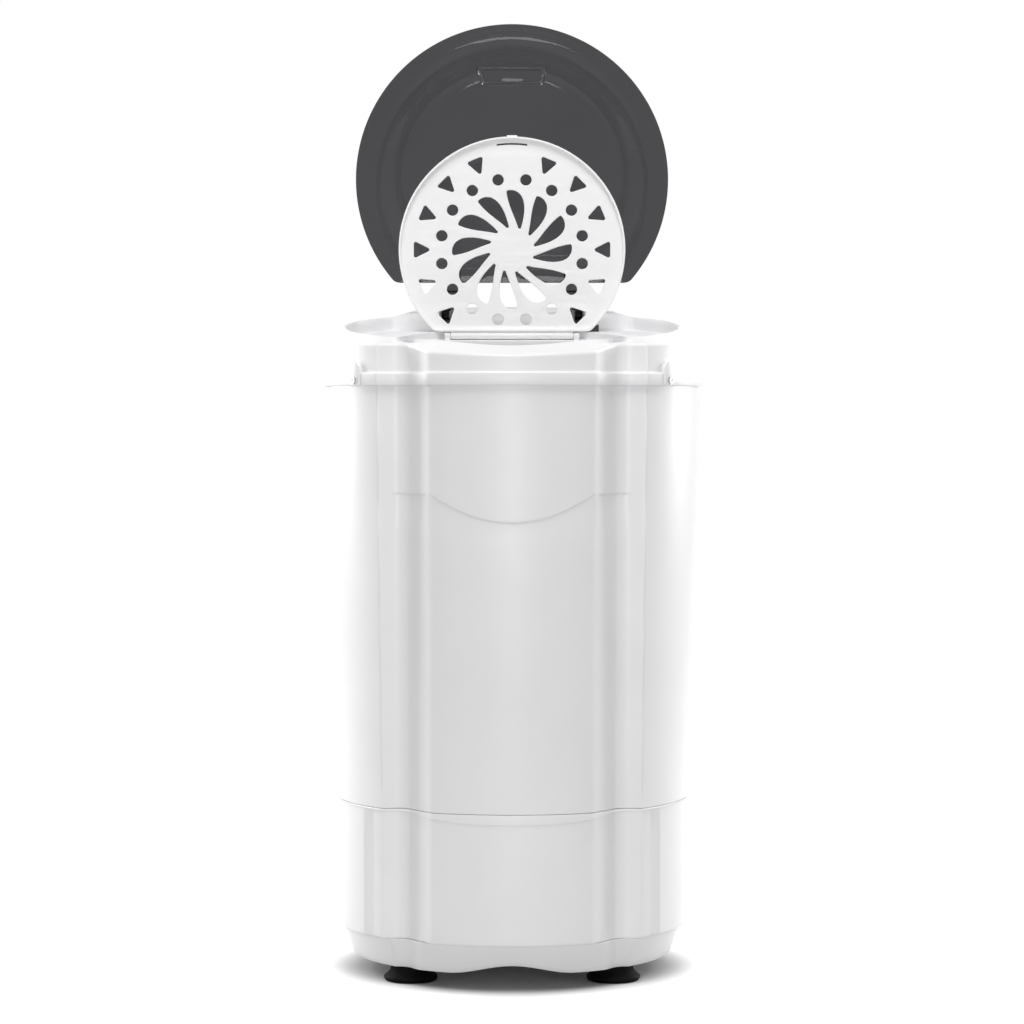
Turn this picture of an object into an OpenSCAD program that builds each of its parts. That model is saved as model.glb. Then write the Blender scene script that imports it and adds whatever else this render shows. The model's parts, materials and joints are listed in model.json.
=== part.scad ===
// Laundry spin dryer with a slanted top, a smoked outer lid and a pierced inner cover.
// Front is -Y, the origin is on the floor under the drum's axis. Both covers stand open.

/* [Cabinet] */
// Radius of the round wall at the seam between base and cabinet
body_r = 178; // [172:1:184]
// Outward lean of the cabinet wall, in degrees
draft = 1.6; // [1.2:0.1:2]
// Height of the seam between base and cabinet
seam_z = 175; // [170:1:180]
// Height of the collar's lower edge
collar_z = 592; // [585:1:600]
// Wall thickness of the moulded shells
wall = 3; // [2.4:0.2:3.4]
// Overlap of one shell inside the next
lap = 12; // [9:1:14]

/* [Flutes] */
// Half width of the front panel, between the flutes
panel_half = 79; // [72:1:84]
// Half width out to the sharp outer edge of the flutes
flute_out = 128; // [124:1:132]
// Half width to the inner corner of the flute floor
flute_corner = 106; // [102:1:110]
// How far the flute floor sinks from its outer edge to its inner corner
flute_sink = 4; // [2:0.5:6]
// Radius of the S-curve between flute floor and front panel
flute_round = 16; // [10:1:20]
// Depth of the embossed smile line and its side strokes
emboss_depth = 1; // [0.6:0.1:1.4]
// Width of the embossed smile line
emboss_w = 3; // [2:0.5:4]
// Height of the two ends of the smile line
smile_z = 486; // [460:1:510]
// How far the smile line sags in the middle
smile_sag = 27; // [20:1:34]

/* [Base] */
// Height of the base floor's upper face
floor_z = 31; // [29:1:35]
// Height of the step between base wall and skirt
step_z = 46; // [42:1:50]
// Height of the skirt's lower edge
skirt_z = 17; // [14:1:19]
// How far the skirt stands back at the step
skirt_step = 5; // [3:1:7]
// How far the skirt leans in from the step to its lower edge
skirt_lean = 11; // [8:1:13]
// Half width of the front and rear arches
arch_half = 62; // [50:1:64]
// Rise of the arches
arch_rise = 9; // [6:1:9]
// Width of the recessed strips on the base wall
strip_w = 17; // [12:1:20]
// Depth of the recessed strips
strip_depth = 1.5; // [1:0.1:1.8]
// Azimuth of strips and collar screws, from the front
screw_az = 53; // [50:1:56]

/* [Feet] */
// Distance from the wall's radius in to the feet, sideways
foot_in_x = 77; // [74:1:82]
// Distance from the wall's radius in to the feet, front to back
foot_in_y = 86; // [82:1:90]
// Largest radius of a rubber foot
foot_r = 27; // [24:1:28]
// Height of a rubber foot
foot_h = 20; // [18:1:21]

/* [Top panel] */
// Height of the rim above the collar's lower edge, on the axis
rim_rise = 62; // [60:1:68]
// Slant of the top, low at the front, in degrees
slant = 6; // [5:0.5:7]
// Radius of the opening in the rim
opening_r = 169; // [166:1:171]
// Depth of the deck below the rim
deck_drop = 14; // [13:1:15]
// Depth of the rebate that holds the inner cover, below the deck
rebate_drop = 8; // [7.5:0.5:9]
// Fall of the rim's crown from the opening to the wall
crown_drop = 6; // [4:0.5:8]
// Extra dip of the rim in the front panel
front_dip = 4.5; // [3:0.5:6]
// Thickness of the collar
collar_t = 4; // [3.4:0.2:4.6]
// Height of the collar band
collar_h = 14; // [13:1:16]
// Height of the hinge hump above the rim
hump_rise = 5; // [4:0.5:6]
// Where the hinge hump starts, behind the axis
hump_y = 113; // [111:0.5:114]
// Radius of the loading mouth
mouth_r = 108; // [106:1:110]
// Where the mouth is cut flat, behind the axis
mouth_flat = 78; // [76:1:79]

/* [Outer lid] */
// Gap between the lid and the opening
lid_gap = 2.5; // [1.5:0.5:3]
// Angle between open and closed
lid_open = 100; // [95:1:102]
// Wall thickness of lid and inner cover plate
lid_t = 2.5; // [2:0.1:3]
// Height of the lid's dome above the rim
dome_rise = 12; // [9:1:14]
// Radius of the flat middle of the dome
dome_r = 131; // [125:1:135]
// Width of the flange around the lid
flange_w = 11; // [9:1:12]
// Sideways distance of the hinge arms from the middle
arm_x = 65; // [60:1:70]
// Width of a hinge arm
arm_w = 20; // [16:1:22]
// Distance of the lid's hinge axis behind the drum axis
hinge_y = 152; // [151:0.5:153]
// Depth of the lid's hinge axis below the rim
hinge_drop = 8; // [7.5:0.5:8.5]
// Radius of the lid's hinge pins
pin_r = 3; // [2.5:0.1:3.2]
// Width of the finger grip
grip_w = 76; // [60:1:84]
// Distance from the lid's front edge to the finger grip
grip_in = 45; // [42:1:50]
// Height of the finger grip's pocket, front to back
grip_l = 15; // [13:1:18]
// Depth of the finger grip's pocket
grip_depth = 10; // [8:1:12]

/* [Inner cover] */
// Radius of the inner cover
cover_r = 118.7; // [118:0.1:119]
// Where the cover's plate is cut flat, behind the axis
cover_flat = 86.5; // [84:0.5:87]
// Radius of the hinge barrel
barrel_r = 3.5; // [3.2:0.1:3.6]
// Half length of the hinge barrel
barrel_half = 64; // [56:1:66]
// Radius of the inner cover's hinge pins
cover_pin_r = 1.8; // [1.5:0.1:2]
// Number of swirling petals
petals = 12; // [8:1:14]
// Radius where the petals start
petal_in = 23.4; // [22:0.2:28]
// Radius where the petals end
petal_out = 62.8; // [56:0.2:64]
// Angle that a petal sweeps on its way out, in degrees
petal_sweep = 28.5; // [22:0.5:30]
// Number of places on the hole rings
ring_holes = 16; // [12:2:16]
// Radius of the ring of round holes
hole_ring_r = 75; // [73:0.5:76]
// Radius of a round hole
hole_r = 6; // [4:0.5:6.5]
// Radius of the outer side of the triangular holes
tri_out = 103; // [101:0.5:105]
// Length of a triangular hole along the radius, before its corners are rounded
tri_l = 18.8; // [15:0.2:20]
// Half width of a triangular hole, before its corners are rounded
tri_half = 9.5; // [7:0.5:10]

/* [Tub and basket] */
// Gap between the cabinet wall at the seam and the tub
tub_gap = 26; // [25.5:0.5:28]
// Wall thickness of the tub
tub_t = 2.5; // [2:0.1:3]
// Height of the tub floor's underside above the seam
tub_lift = 25; // [24:1:30]
// Gap between the tub and the basket
basket_gap = 24; // [20:1:30]
// Sheet thickness of the basket
basket_t = 1; // [0.8:0.1:1.6]
// Height of the basket floor above the tub floor
basket_lift = 22; // [20:1:26]
// Height of the balance ring
ring_h = 16; // [12:1:18]
// Inner radius of the balance ring
ring_in_r = 104; // [100:1:106]
// Number of hole columns in the basket wall
basket_cols = 12; // [8:1:16]
// Number of hole rows in the basket wall
basket_rows = 5; // [3:1:7]
// Radius of a basket hole
basket_hole_r = 3; // [2:0.5:4]

/* [Drive] */
// Radius of the drive shaft
shaft_r = 7; // [6:0.5:8]
// Radius of the motor
motor_r = 62; // [58:1:66]
// Height of the motor plate's underside above the base floor
plate_lift = 107; // [105:1:109]
// Thickness of the motor plate
plate_t = 3; // [2.5:0.5:4]
// Height of a rubber mount
mount_h = 26; // [20:1:30]
// Radius of a rubber mount
mount_r = 15; // [12:1:16]
// Distance of the mounts from the axis
mount_ring_r = 110; // [106:1:112]
// Radius of the brake drum
drum_r = 45; // [42:1:47]
// Height of the brake drum
drum_h = 22; // [18:1:24]
// Distance that the brake rod and the switch plunger travel
press_travel = 6.8; // [6:0.1:7]
// Radius of the brake rod
rod_r = 3; // [2.5:0.1:3.2]
// Distance of the brake rod's middle outside the tub
rod_gap = 4.6; // [4.4:0.1:5]
// Length of the brake arm from its pivot to the rod
arm_reach = 56; // [54:1:58]
// Radius of the drain pipe
drain_r = 11; // [9:0.5:12]
// Distance from the tub's radius in to the drain
drain_in = 16; // [14:0.5:20]

/* [Clearances] */
// Radial clearance of a pin or shaft that turns
turn_gap = 0.05; // [0.03:0.01:0.1]
// Radial clearance of a pin that is pressed in
press_gap = 0.01; // [0.01:0.01:0.02]
// Gap between pieces that pass each other
pass_gap = 0.4; // [0.3:0.1:0.6]
// Gap between pieces that only touch when pressed
touch_gap = 0.3; // [0.2:0.1:0.4]

/* [Hidden] */
$fn = 96;
tall = 500;                    // longer than any wall that a cutter has to pass
eps = 0.5;                     // how far a cutter runs past a face

// Heights
rim_z = collar_z + rim_rise;
cabinet_top = collar_z + lap;
tub_z = seam_z + tub_lift;
tub_flange_t = 3;
panel_z = cabinet_top + tub_flange_t;
basket_z = tub_z + basket_lift;
ring_top = collar_z + collar_h;
plate_z = floor_z + plate_lift;
drum_z = plate_z + plate_t + 9;
pivot_z = drum_z;
screw_z = collar_z + collar_h / 2 - 2;

// Radii and offsets
collar_r = body_r + (collar_z - seam_z) * tan(draft);
collar_out = (collar_z - seam_z) * tan(draft);
rim_out = 1.5;                 // how far the rim wall stands outside the cabinet wall
skirt_h = step_z - skirt_z;
lid_r = opening_r - lid_gap;
lid_flat = hump_y - 2;
flange_z = 0.5 - deck_drop;
barrel_y = cover_flat + barrel_r + 0.8;
barrel_z = -deck_drop - 0.5 - barrel_r;
rebate_r = cover_r + 1.3;
rebate_flat = barrel_y + barrel_r + 1.2;
tub_r = body_r - tub_gap;
basket_r = tub_r - basket_gap;
foot_x = body_r - foot_in_x;
foot_y = body_r - foot_in_y;
rod_ring_r = tub_r + rod_gap;
rod_y = sqrt(rod_ring_r * rod_ring_r - arm_x * arm_x);
rod_az = atan2(rod_y, arm_x);
pivot_r = rod_ring_r - arm_reach;
plunger_x = 84;
plunger_y = 100.5;
plunger_w = 14;
plunger_l = 7;
plunger_foot = 6;              // height of the plunger's block under the deck
stem_r = 2.5;                  // radius of the plunger's stem
switch_half = 10;              // half width of the switch body
switch_h = 14;                 // height of the switch body
switch_l = 11;                 // length of the switch body, front to back
switch_front = 6;              // how much of it lies in front of the stem
lug_w = 6;
drain_y = tub_r - drain_in;
drain_z = 64;
elbow_r = drain_r + 2;         // outer radius of the drain's elbow
spout_l = 14;                  // free length of the drain's spout
strip_top = seam_z - 8;
seal_r = 16;
gland_r = 8;
cord_r = 3.8;                  // radius of the gland's bore
bearing_r = 17;
bearing_h = 10;
cover_t = 6;                   // thickness of the motor's end walls
motor_h = 86;                  // height of the motor's case without its cover
motor_low = plate_z - cover_t - motor_h;
stack_z = motor_low + 16;
stack_h = 52;                  // height of the motor's core
rotor_r = motor_r - 23.6;
rotor_gap = 0.6;
can_r = 20;                    // radius of the capacitor
can_h = 62;
can_x = 60;
can_y = body_r - 58;
bolt_r = 3;                    // radius of the mounts' bolts
screw_r = 2;                   // radius of the shells' screws
foot_screw_r = 2.5;

white = "#f1f1f2";
smoke = "#4d4d50";
steel = "#b9bcc0";
black = "#1d1d1f";

// ---------------------------------------------------------------- helpers

module slanted() translate([0, 0, rim_z]) rotate([slant, 0, 0]) children();

// Swings a cover from its closed place on the slanted top to its open place.
module opened(y, z) {
    slanted() translate([0, y, z]) rotate([-lid_open, 0, 0]) translate([0, -y, -z]) children();
}

module both_sides() {
    children();
    mirror([1, 0, 0]) children();
}

module four_ways() {
    both_sides() children();
    mirror([0, 1, 0]) both_sides() children();
}

// Turns a radial piece to an azimuth measured from the front, on both sides, front and rear.
module at_screws() four_ways() rotate([0, 0, screw_az]) children();

// A radial cylinder that points to the front, from radius r0 to r1 at height z.
module radial(r0, r1, z, r) translate([0, -r0, z]) rotate([90, 0, 0]) cylinder(h = r1 - r0, r = r);

module tube(r_out, r_in, z0, z1) {
    difference() {
        translate([0, 0, z0]) cylinder(h = z1 - z0, r = r_out);
        translate([0, 0, z0 - eps]) cylinder(h = z1 - z0 + 2 * eps, r = r_in);
    }
}

// A disc with a straight rear edge.
module dee(r, flat, z0, z1) {
    intersection() {
        translate([0, 0, z0]) cylinder(h = z1 - z0, r = r);
        translate([-r - 1, -r - 1, z0 - 1]) cube([2 * r + 2, r + 1 + flat, z1 - z0 + 2]);
    }
}

// The half of a piece on one side of the middle plane, -1 for the left and 1 for the right.
module half(side) {
    intersection() {
        children();
        translate([side < 0 ? -tall : 0, -tall, 0]) cube([tall, 2 * tall, 2 * tall]);
    }
}

function unit(v) = v / norm(v);

// Points of an arc that rounds the corner q between p and s with radius r.
function corner_arc(p, q, s, r, steps) =
    let (
        a = unit(p - q),
        b = unit(s - q),
        half = acos(a * b) / 2,
        hub = q + unit(a + b) * r / sin(half),
        first = unit(q + a * r / tan(half) - hub),
        last = unit(q + b * r / tan(half) - hub)
    )
    [for (i = [0 : steps]) hub + r * unit(first * (1 - i / steps) + last * i / steps)];

function on_wall(x) = [x, sqrt(body_r * body_r - x * x)];

// ---------------------------------------------------------------- fluted walls

// Plan of the space that a flute takes out of the round wall, sunk deeper by inset.
module flute_plan(inset) {
    edge = on_wall(flute_out);
    corner = [flute_corner, edge[1] - flute_sink];
    panel = on_wall(panel_half);
    floor_end = edge + 3 * (edge - corner);
    panel_end = panel + 60 * unit([-panel[1], panel[0]]);
    far = body_r + 60;
    translate([-0.5 * inset, -1.2 * inset])
        polygon(concat(
            [[floor_end[0], far], floor_end],
            corner_arc(floor_end, corner, panel, flute_round, 6),
            corner_arc(corner, panel, panel_end, flute_round, 5),
            [panel_end, [panel_end[0], far]]
        ));
}

// The four flutes as cutters, moved out by a distance at height z and leaning by an angle.
module flute_cutters(inset, out = 0, lean = 0, z = seam_z) {
    four_ways()
        translate([0, out, z])
        rotate([-lean, 0, 0])
        translate([0, 0, -tall / 2])
        linear_extrude(height = 2.2 * tall)
        flute_plan(inset);
}

function wall_r(z) = body_r + (z - seam_z) * tan(draft);

// The tapered cabinet as a solid, drawn in by inset.
module cabinet_form(z0, z1, inset) {
    difference() {
        translate([0, 0, z0])
            cylinder(h = z1 - z0, r1 = wall_r(z0) - inset, r2 = wall_r(z1) - inset);
        flute_cutters(inset, lean = draft);
    }
}

// The straight upper wall as a solid, drawn in by inset.
module upper_form(z0, z1, inset) {
    difference() {
        translate([0, 0, z0]) cylinder(h = z1 - z0, r = collar_r - inset);
        flute_cutters(inset, out = collar_out);
    }
}

// The straight base wall as a solid, drawn in by inset.
module base_form(z0, z1, inset) {
    difference() {
        translate([0, 0, z0]) cylinder(h = z1 - z0, r = body_r - inset);
        flute_cutters(inset);
    }
}

// The skirt under the base wall as a solid, drawn in by inset, from z0 up to the step.
module skirt_form(z0, inset) {
    slope = skirt_lean / (step_z - skirt_z);
    edge_r = body_r - skirt_step - inset;
    difference() {
        translate([0, 0, z0])
            cylinder(h = step_z - z0, r1 = edge_r - slope * (step_z - z0), r2 = edge_r);
        flute_cutters(inset, out = -skirt_step, lean = atan(slope), z = step_z);
    }
}

// ---------------------------------------------------------------- shells

// Bars that stand across a shell and are cut into its skin to the emboss depth.
module emboss_bars() {
    smile_r = (panel_half * panel_half + smile_sag * smile_sag) / (2 * smile_sag);
    four_ways() translate([flute_corner - 22, -body_r - 30, smile_z - emboss_w / 2])
        cube([34, 100, emboss_w]);
    intersection() {
        translate([0, 0, smile_z - smile_sag + smile_r]) rotate([90, 0, 0])
            difference() {
                cylinder(h = 3 * body_r, r = smile_r + emboss_w / 2, center = true);
                cylinder(h = 4 * body_r, r = smile_r - emboss_w / 2, center = true);
            }
        translate([-panel_half, -2 * body_r, smile_z - smile_sag - emboss_w])
            cube([2 * panel_half, 4 * body_r, smile_sag + emboss_w]);
    }
}

module cabinet_shell() {
    color(white) difference() {
        cabinet_form(seam_z, cabinet_top, 0);
        cabinet_form(seam_z - eps, cabinet_top + eps, wall);
        difference() {
            emboss_bars();
            cabinet_form(seam_z - eps, cabinet_top + eps, emboss_depth);
        }
        at_screws() radial(body_r - 20, collar_r + 10, screw_z, screw_r);
        seam_screw_places() radial(body_r - 20, body_r + 10, seam_z + lap / 2, screw_r);
    }
}

module seam_screw_places() for (az = [100, 160, 200, 260]) rotate([0, 0, az]) children();

module foot_places() four_ways() translate([foot_x, -foot_y, 0]) children();

module mount_places() {
    for (az = [0, 120, 240]) rotate([0, 0, az - 90]) translate([mount_ring_r, 0, 0]) children();
}

module base_shell() {
    arch_r = (arch_half * arch_half + arch_rise * arch_rise) / (2 * arch_rise);
    color(white) difference() {
        union() {
            difference() {
                union() {
                    base_form(step_z - wall, seam_z, 0);
                    base_form(step_z, seam_z + lap - 1, wall + pass_gap);
                    skirt_form(skirt_z, 0);
                }
                base_form(step_z - eps, seam_z + lap, 2 * wall + pass_gap);
                intersection() {
                    skirt_form(floor_z, wall);
                    base_form(floor_z, step_z, 2 * wall + pass_gap);
                }
                intersection() {
                    skirt_form(skirt_z - eps, wall);
                    cylinder(h = floor_z - wall, r = body_r);
                }
            }
            mount_places() translate([0, 0, floor_z - 1])
                cylinder(h = plate_lift - mount_h + 1, r = mount_r - 2);
            foot_places() translate([0, 0, foot_h]) cylinder(h = floor_z - foot_h - 1, r = foot_r - 6);
        }
        translate([0, 0, skirt_z + arch_rise - arch_r]) rotate([90, 0, 0])
            cylinder(h = 3 * body_r, r = arch_r, center = true);
        at_screws() translate([-strip_w / 2, -body_r - 20, step_z + 1])
            cube([strip_w, 20 + strip_depth, strip_top - step_z - 1]);
        foot_places() translate([0, 0, foot_h - eps]) cylinder(h = 9, r = foot_screw_r + press_gap);
        mount_places() translate([0, 0, plate_z - mount_h - 12])
            cylinder(h = 20, r = bolt_r + press_gap);
        translate([0, 100, drain_z]) rotate([-90, 0, 0]) cylinder(h = 120, r = elbow_r + press_gap);
        gland_place() radial(body_r - 20, body_r + 20, 0, gland_r + press_gap);
        seam_screw_places() radial(body_r - 20, body_r + 10, seam_z + lap / 2, screw_r);
    }
}

// ---------------------------------------------------------------- top panel

// Everything under the rim's crown, with the hump at the rear, lowered by drop.
module plain_crown(drop) {
    slope = crown_drop / (collar_r + rim_out - opening_r);
    reach = collar_r + 30;
    slanted() {
        rotate_extrude() polygon([
            [0, -tall], [reach, -tall], [reach, -drop - slope * (reach - opening_r)],
            [opening_r, -drop], [0, -drop],
        ]);
        translate([0, reach, -drop]) rotate([90, 0, 0]) linear_extrude(height = reach - hump_y)
            polygon([
                [-hump_y - 20, -20], [hump_y + 20, -20], [hump_y - 6, hump_rise],
                [6 - hump_y, hump_rise],
            ]);
    }
}

// The same, with the dip of the rim in the front panel.
module crown(drop) {
    difference() {
        plain_crown(drop);
        difference() {
            slanted() translate([0, -opening_r / 2, -drop]) rotate([90, 0, 0])
                linear_extrude(height = tall) polygon([
                    [-panel_half - 12, 20], [-panel_half - 12, 0],
                    [-panel_half + 6, -front_dip - crown_drop - 2],
                    [panel_half - 6, -front_dip - crown_drop - 2],
                    [panel_half + 12, 0], [panel_half + 12, 20],
                ]);
            plain_crown(front_dip + drop);
        }
    }
}

module tab_form(r, grow) {
    rotate([0, 0, screw_az]) translate([0, -r, 0]) rotate([90, 0, 0]) union() {
        translate([0, collar_z + 16, 0]) cylinder(h = grow, r = 8);
        translate([-8, collar_z, 0]) cube([16, 16, grow]);
    }
}

module arm_slots() {
    slanted() both_sides() {
        translate([arm_x - arm_w / 2 - 2, hump_y - 6, flange_z - 3.5])
            cube([arm_w + 4, hinge_y + 10 - hump_y + 6, 60]);
    }
}

module hinge_blocks() {
    slanted() both_sides() translate([arm_x - arm_w / 2 - 9, hump_y + 1, flange_z - 6.5])
        cube([arm_w + 18, hinge_y + 14 - hump_y, deck_drop + hump_rise + 4]);
}

module cover_lugs() {
    slanted() both_sides() translate([barrel_half + 0.5, barrel_y, barrel_z]) {
        rotate([0, 90, 0]) cylinder(h = lug_w, r = barrel_r);
        translate([0, -barrel_r, -rebate_drop]) cube([lug_w, 2 * barrel_r, rebate_drop]);
    }
}

// The whole moulding, which the three pieces below share out between them.
module panel_form() {
    rebate_z = -deck_drop - rebate_drop;
    difference() {
        union() {
            difference() {
                intersection() {
                    union() {
                        upper_form(collar_z, collar_z + collar_h, -collar_t);
                        upper_form(collar_z + 1, rim_z + 50, -rim_out);
                        four_ways() tab_form(collar_r - 2, collar_t + 3.5);
                    }
                    crown(0);
                }
                upper_form(collar_z - eps, panel_z, -0.6);
                difference() {
                    intersection() {
                        upper_form(panel_z - eps, rim_z + 50, wall - rim_out);
                        crown(wall);
                    }
                    slanted() translate([0, 0, -deck_drop - wall])
                        intersection() {
                            cylinder(h = tall, r = opening_r + wall);
                            translate([-tall / 2, wall + hump_y - tall, -eps]) cube([tall, tall, tall]);
                        }
                }
            }
            slanted() dee(rebate_r + wall, rebate_flat + wall, rebate_z - wall, -deck_drop);
            slanted() dee(mouth_r + wall, mouth_flat + wall, rebate_z - wall - 6, rebate_z);
            difference() {
                intersection() {
                    tube(tub_r - tub_t - 1.5, tub_r - tub_t - 4, collar_z + 6, rim_z);
                    slanted() translate([0, 0, -tall - deck_drop]) cylinder(h = tall, r = tall);
                }
                switch_room();
            }
            intersection() {
                hinge_blocks();
                crown(1);
                upper_form(panel_z, rim_z + 50, 1);
            }
        }
        slanted() dee(opening_r, hump_y, -deck_drop, 60);
        difference() {
            slanted() dee(rebate_r, rebate_flat, rebate_z, 0);
            cover_lugs();
        }
        slanted() dee(mouth_r, mouth_flat, rebate_z - 30, 0);
        arm_slots();
        slanted() both_sides() translate([arm_x - arm_w / 2 - 8, hinge_y, -hinge_drop])
            rotate([0, 90, 0]) cylinder(h = arm_w + 16, r = pin_r + press_gap);
        slanted() translate([0, barrel_y, barrel_z]) rotate([0, 90, 0])
            cylinder(h = 2 * (barrel_half + lug_w + 1), r = cover_pin_r + press_gap, center = true);
        translate([arm_x, rod_y, collar_z]) cylinder(h = rim_rise + 20, r = rod_r + turn_gap);
        switch_place() translate([0, 0, -deck_drop])
            cube([plunger_w + 0.6, plunger_l + 0.6, 24], center = true);
        at_screws() radial(collar_r - 12, collar_r + 20, screw_z, screw_r);
    }
}

// The flat-sided zone around the mouth that is the deck's, in front of the hinges.
module deck_zone() {
    translate([0, 0, collar_z - eps]) intersection() {
        rotate([0, 0, 22.5]) cylinder(h = tall, r = (tub_r - 3) / cos(22.5), $fn = 8);
        translate([-tall, hump_y - 8.5 - 2 * tall, 0]) cube([2 * tall, 2 * tall, tall]);
    }
}

module top_panel() {
    color(white) difference() {
        panel_form();
        deck_zone();
    }
}

module deck_form() {
    intersection() {
        panel_form();
        deck_zone();
    }
}

module loading_deck_left() color(white) half(-1) deck_form();
module loading_deck_right() color(white) half(1) deck_form();

// ---------------------------------------------------------------- outer lid

// The dome as a solid in the closed place, drawn in by inset.
module lid_dome(inset) {
    edge_r = lid_r - flange_w - inset;
    run = edge_r - dome_r + inset;
    top = dome_rise - inset;
    intersection() {
        rotate_extrude() polygon([
            [0, flange_z], [edge_r, flange_z], [edge_r - 0.45 * run, top - 8],
            [dome_r - inset, top - 1.5], [dome_r - 25, top], [0, top + 1],
        ]);
        rotate([90, 0, 90]) linear_extrude(height = 2 * lid_r, center = true) polygon([
            [-lid_r, flange_z], [lid_flat - flange_w - inset, flange_z],
            [lid_flat - flange_w - inset - 0.45 * run, top - 8], [lid_flat - 38, top + 5],
            [-lid_r, top + 5],
        ]);
    }
}

module lid_body() {
    grip_y = grip_in + grip_l / 2 - lid_r;
    difference() {
        union() {
            dee(lid_r, lid_flat, flange_z, flange_z + lid_t);
            lid_dome(0);
            both_sides() translate([arm_x - arm_w / 2, 0, 0]) {
                translate([0, lid_flat - flange_w - 8, flange_z])
                    cube([arm_w, hinge_y - lid_flat + flange_w + 8, 9]);
                translate([0, hinge_y, -hinge_drop]) rotate([0, 90, 0])
                    cylinder(h = arm_w, r = deck_drop - hinge_drop - 0.5);
            }
        }
        difference() {
            translate([0, 0, -eps]) lid_dome(lid_t);
            translate([-grip_w / 2 - lid_t, grip_y - grip_l / 2 - lid_t, dome_rise - grip_depth - lid_t])
                cube([grip_w + 2 * lid_t, grip_l + 2 * lid_t, grip_depth + 5]);
        }
        translate([-grip_w / 2, grip_y - grip_l / 2, dome_rise - grip_depth])
            cube([grip_w, grip_l, grip_depth + 5]);
        translate([0, hinge_y, -hinge_drop]) rotate([0, 90, 0])
            cylinder(h = 3 * arm_x, r = pin_r + turn_gap, center = true);
    }
}

module lid() color(smoke) opened(hinge_y, -hinge_drop) lid_body();

module lid_hinge_pins() {
    color(steel) slanted() both_sides() translate([arm_x - arm_w / 2 - 7, hinge_y, -hinge_drop])
        rotate([0, 90, 0]) cylinder(h = arm_w + 14, r = pin_r);
}

// ---------------------------------------------------------------- inner cover

// Points of a cubic curve with the four control points c, without the last one.
function curve(c, steps) =
    [for (i = [0 : steps - 1])
        let (t = i / steps, u = 1 - t)
        u * u * u * c[0] + 3 * u * u * t * c[1] + 3 * u * t * t * c[2] + t * t * t * c[3]];

// One teardrop with its tip towards the middle, swept to one side as it runs out. Each control
// point is a share of the petal's length and a share of its sweep.
module petal(z0, z1) {
    outline = concat(
        curve([[0.02, 0.025], [0.374, 0.132], [0.872, 0.279], [0.977, 0.679]], 8),
        curve([[0.977, 0.679], [1.009, 0.801], [1.026, 1.005], [0.953, 0.997]], 6),
        curve([[0.953, 0.997], [0.608, 0.982], [0.291, 0.814], [0.034, 0.294]], 6),
        curve([[0.034, 0.294], [-0.006, 0.253], [-0.01, 0.079], [0.02, 0.025]], 4)
    );
    translate([0, 0, z0]) linear_extrude(height = z1 - z0) polygon([
        for (p = outline)
            let (r = petal_in + p[0] * (petal_out - petal_in), a = p[1] * petal_sweep)
            [r * cos(a), -r * sin(a)]
    ]);
}

// A rounded triangle that points to the middle.
module triangle_hole(z0, z1) {
    a = [tri_out - tri_l, 0];
    b = [tri_out, tri_half];
    c = [tri_out, -tri_half];
    translate([0, 0, z0]) linear_extrude(height = z1 - z0) polygon(concat(
        corner_arc(c, a, b, 2, 4), corner_arc(a, b, c, 2, 4), corner_arc(b, c, a, 2, 4)
    ));
}

// All holes in the cover's plate. They end short of the hinge strip.
module cover_holes(z0, z1) {
    step = 360 / ring_holes;
    intersection() {
        dee(cover_r - 6, cover_flat - 4, z0, z1);
        union() {
            for (i = [0 : petals - 1]) rotate([0, 0, 360 / petals * i + 23]) petal(z0, z1);
            for (i = [0 : ring_holes - 1]) rotate([0, 0, step * (i + 0.5)])
                translate([hole_ring_r, 0, z0]) cylinder(h = z1 - z0, r = hole_r);
            for (i = [1 : ring_holes - 1]) if (i != ring_holes / 2)
                rotate([0, 0, step * i + 90]) triangle_hole(z0, z1);
        }
    }
}

module cover_body() {
    top = -deck_drop - 0.5;
    low = top - 2 * barrel_r;
    difference() {
        union() {
            dee(cover_r, cover_flat, top - lid_t, top);
            difference() {
                dee(cover_r, cover_flat, low, top);
                dee(cover_r - lid_t, cover_flat - lid_t, low - 1, top - lid_t);
            }
            translate([-barrel_half, barrel_y, barrel_z]) rotate([0, 90, 0])
                cylinder(h = 2 * barrel_half, r = barrel_r);
            translate([-barrel_half, cover_flat - 1, barrel_z - 1])
                cube([2 * barrel_half, barrel_y - cover_flat + 1, 2]);
            translate([-5.5, -cover_r - 0.7, top - 5]) cube([11, 3, 5]);
        }
        cover_holes(low - 1, top + 1);
        translate([-16, 9 - cover_r, low]) cube([32, 1.6, 10]);
        both_sides() translate([barrel_half + lug_w, cover_flat - 1, low - 1]) cube([20, 6, 12]);
        translate([0, barrel_y, barrel_z]) rotate([0, 90, 0])
            cylinder(h = 3 * barrel_half, r = cover_pin_r + turn_gap, center = true);
    }
}

module inner_cover() color(white) opened(barrel_y, barrel_z) cover_body();

module cover_hinge_pins() {
    color(steel) slanted() both_sides() translate([barrel_half - 14, barrel_y, barrel_z])
        rotate([0, 90, 0]) cylinder(h = 20, r = cover_pin_r);
}

// ---------------------------------------------------------------- tub and drain

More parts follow.
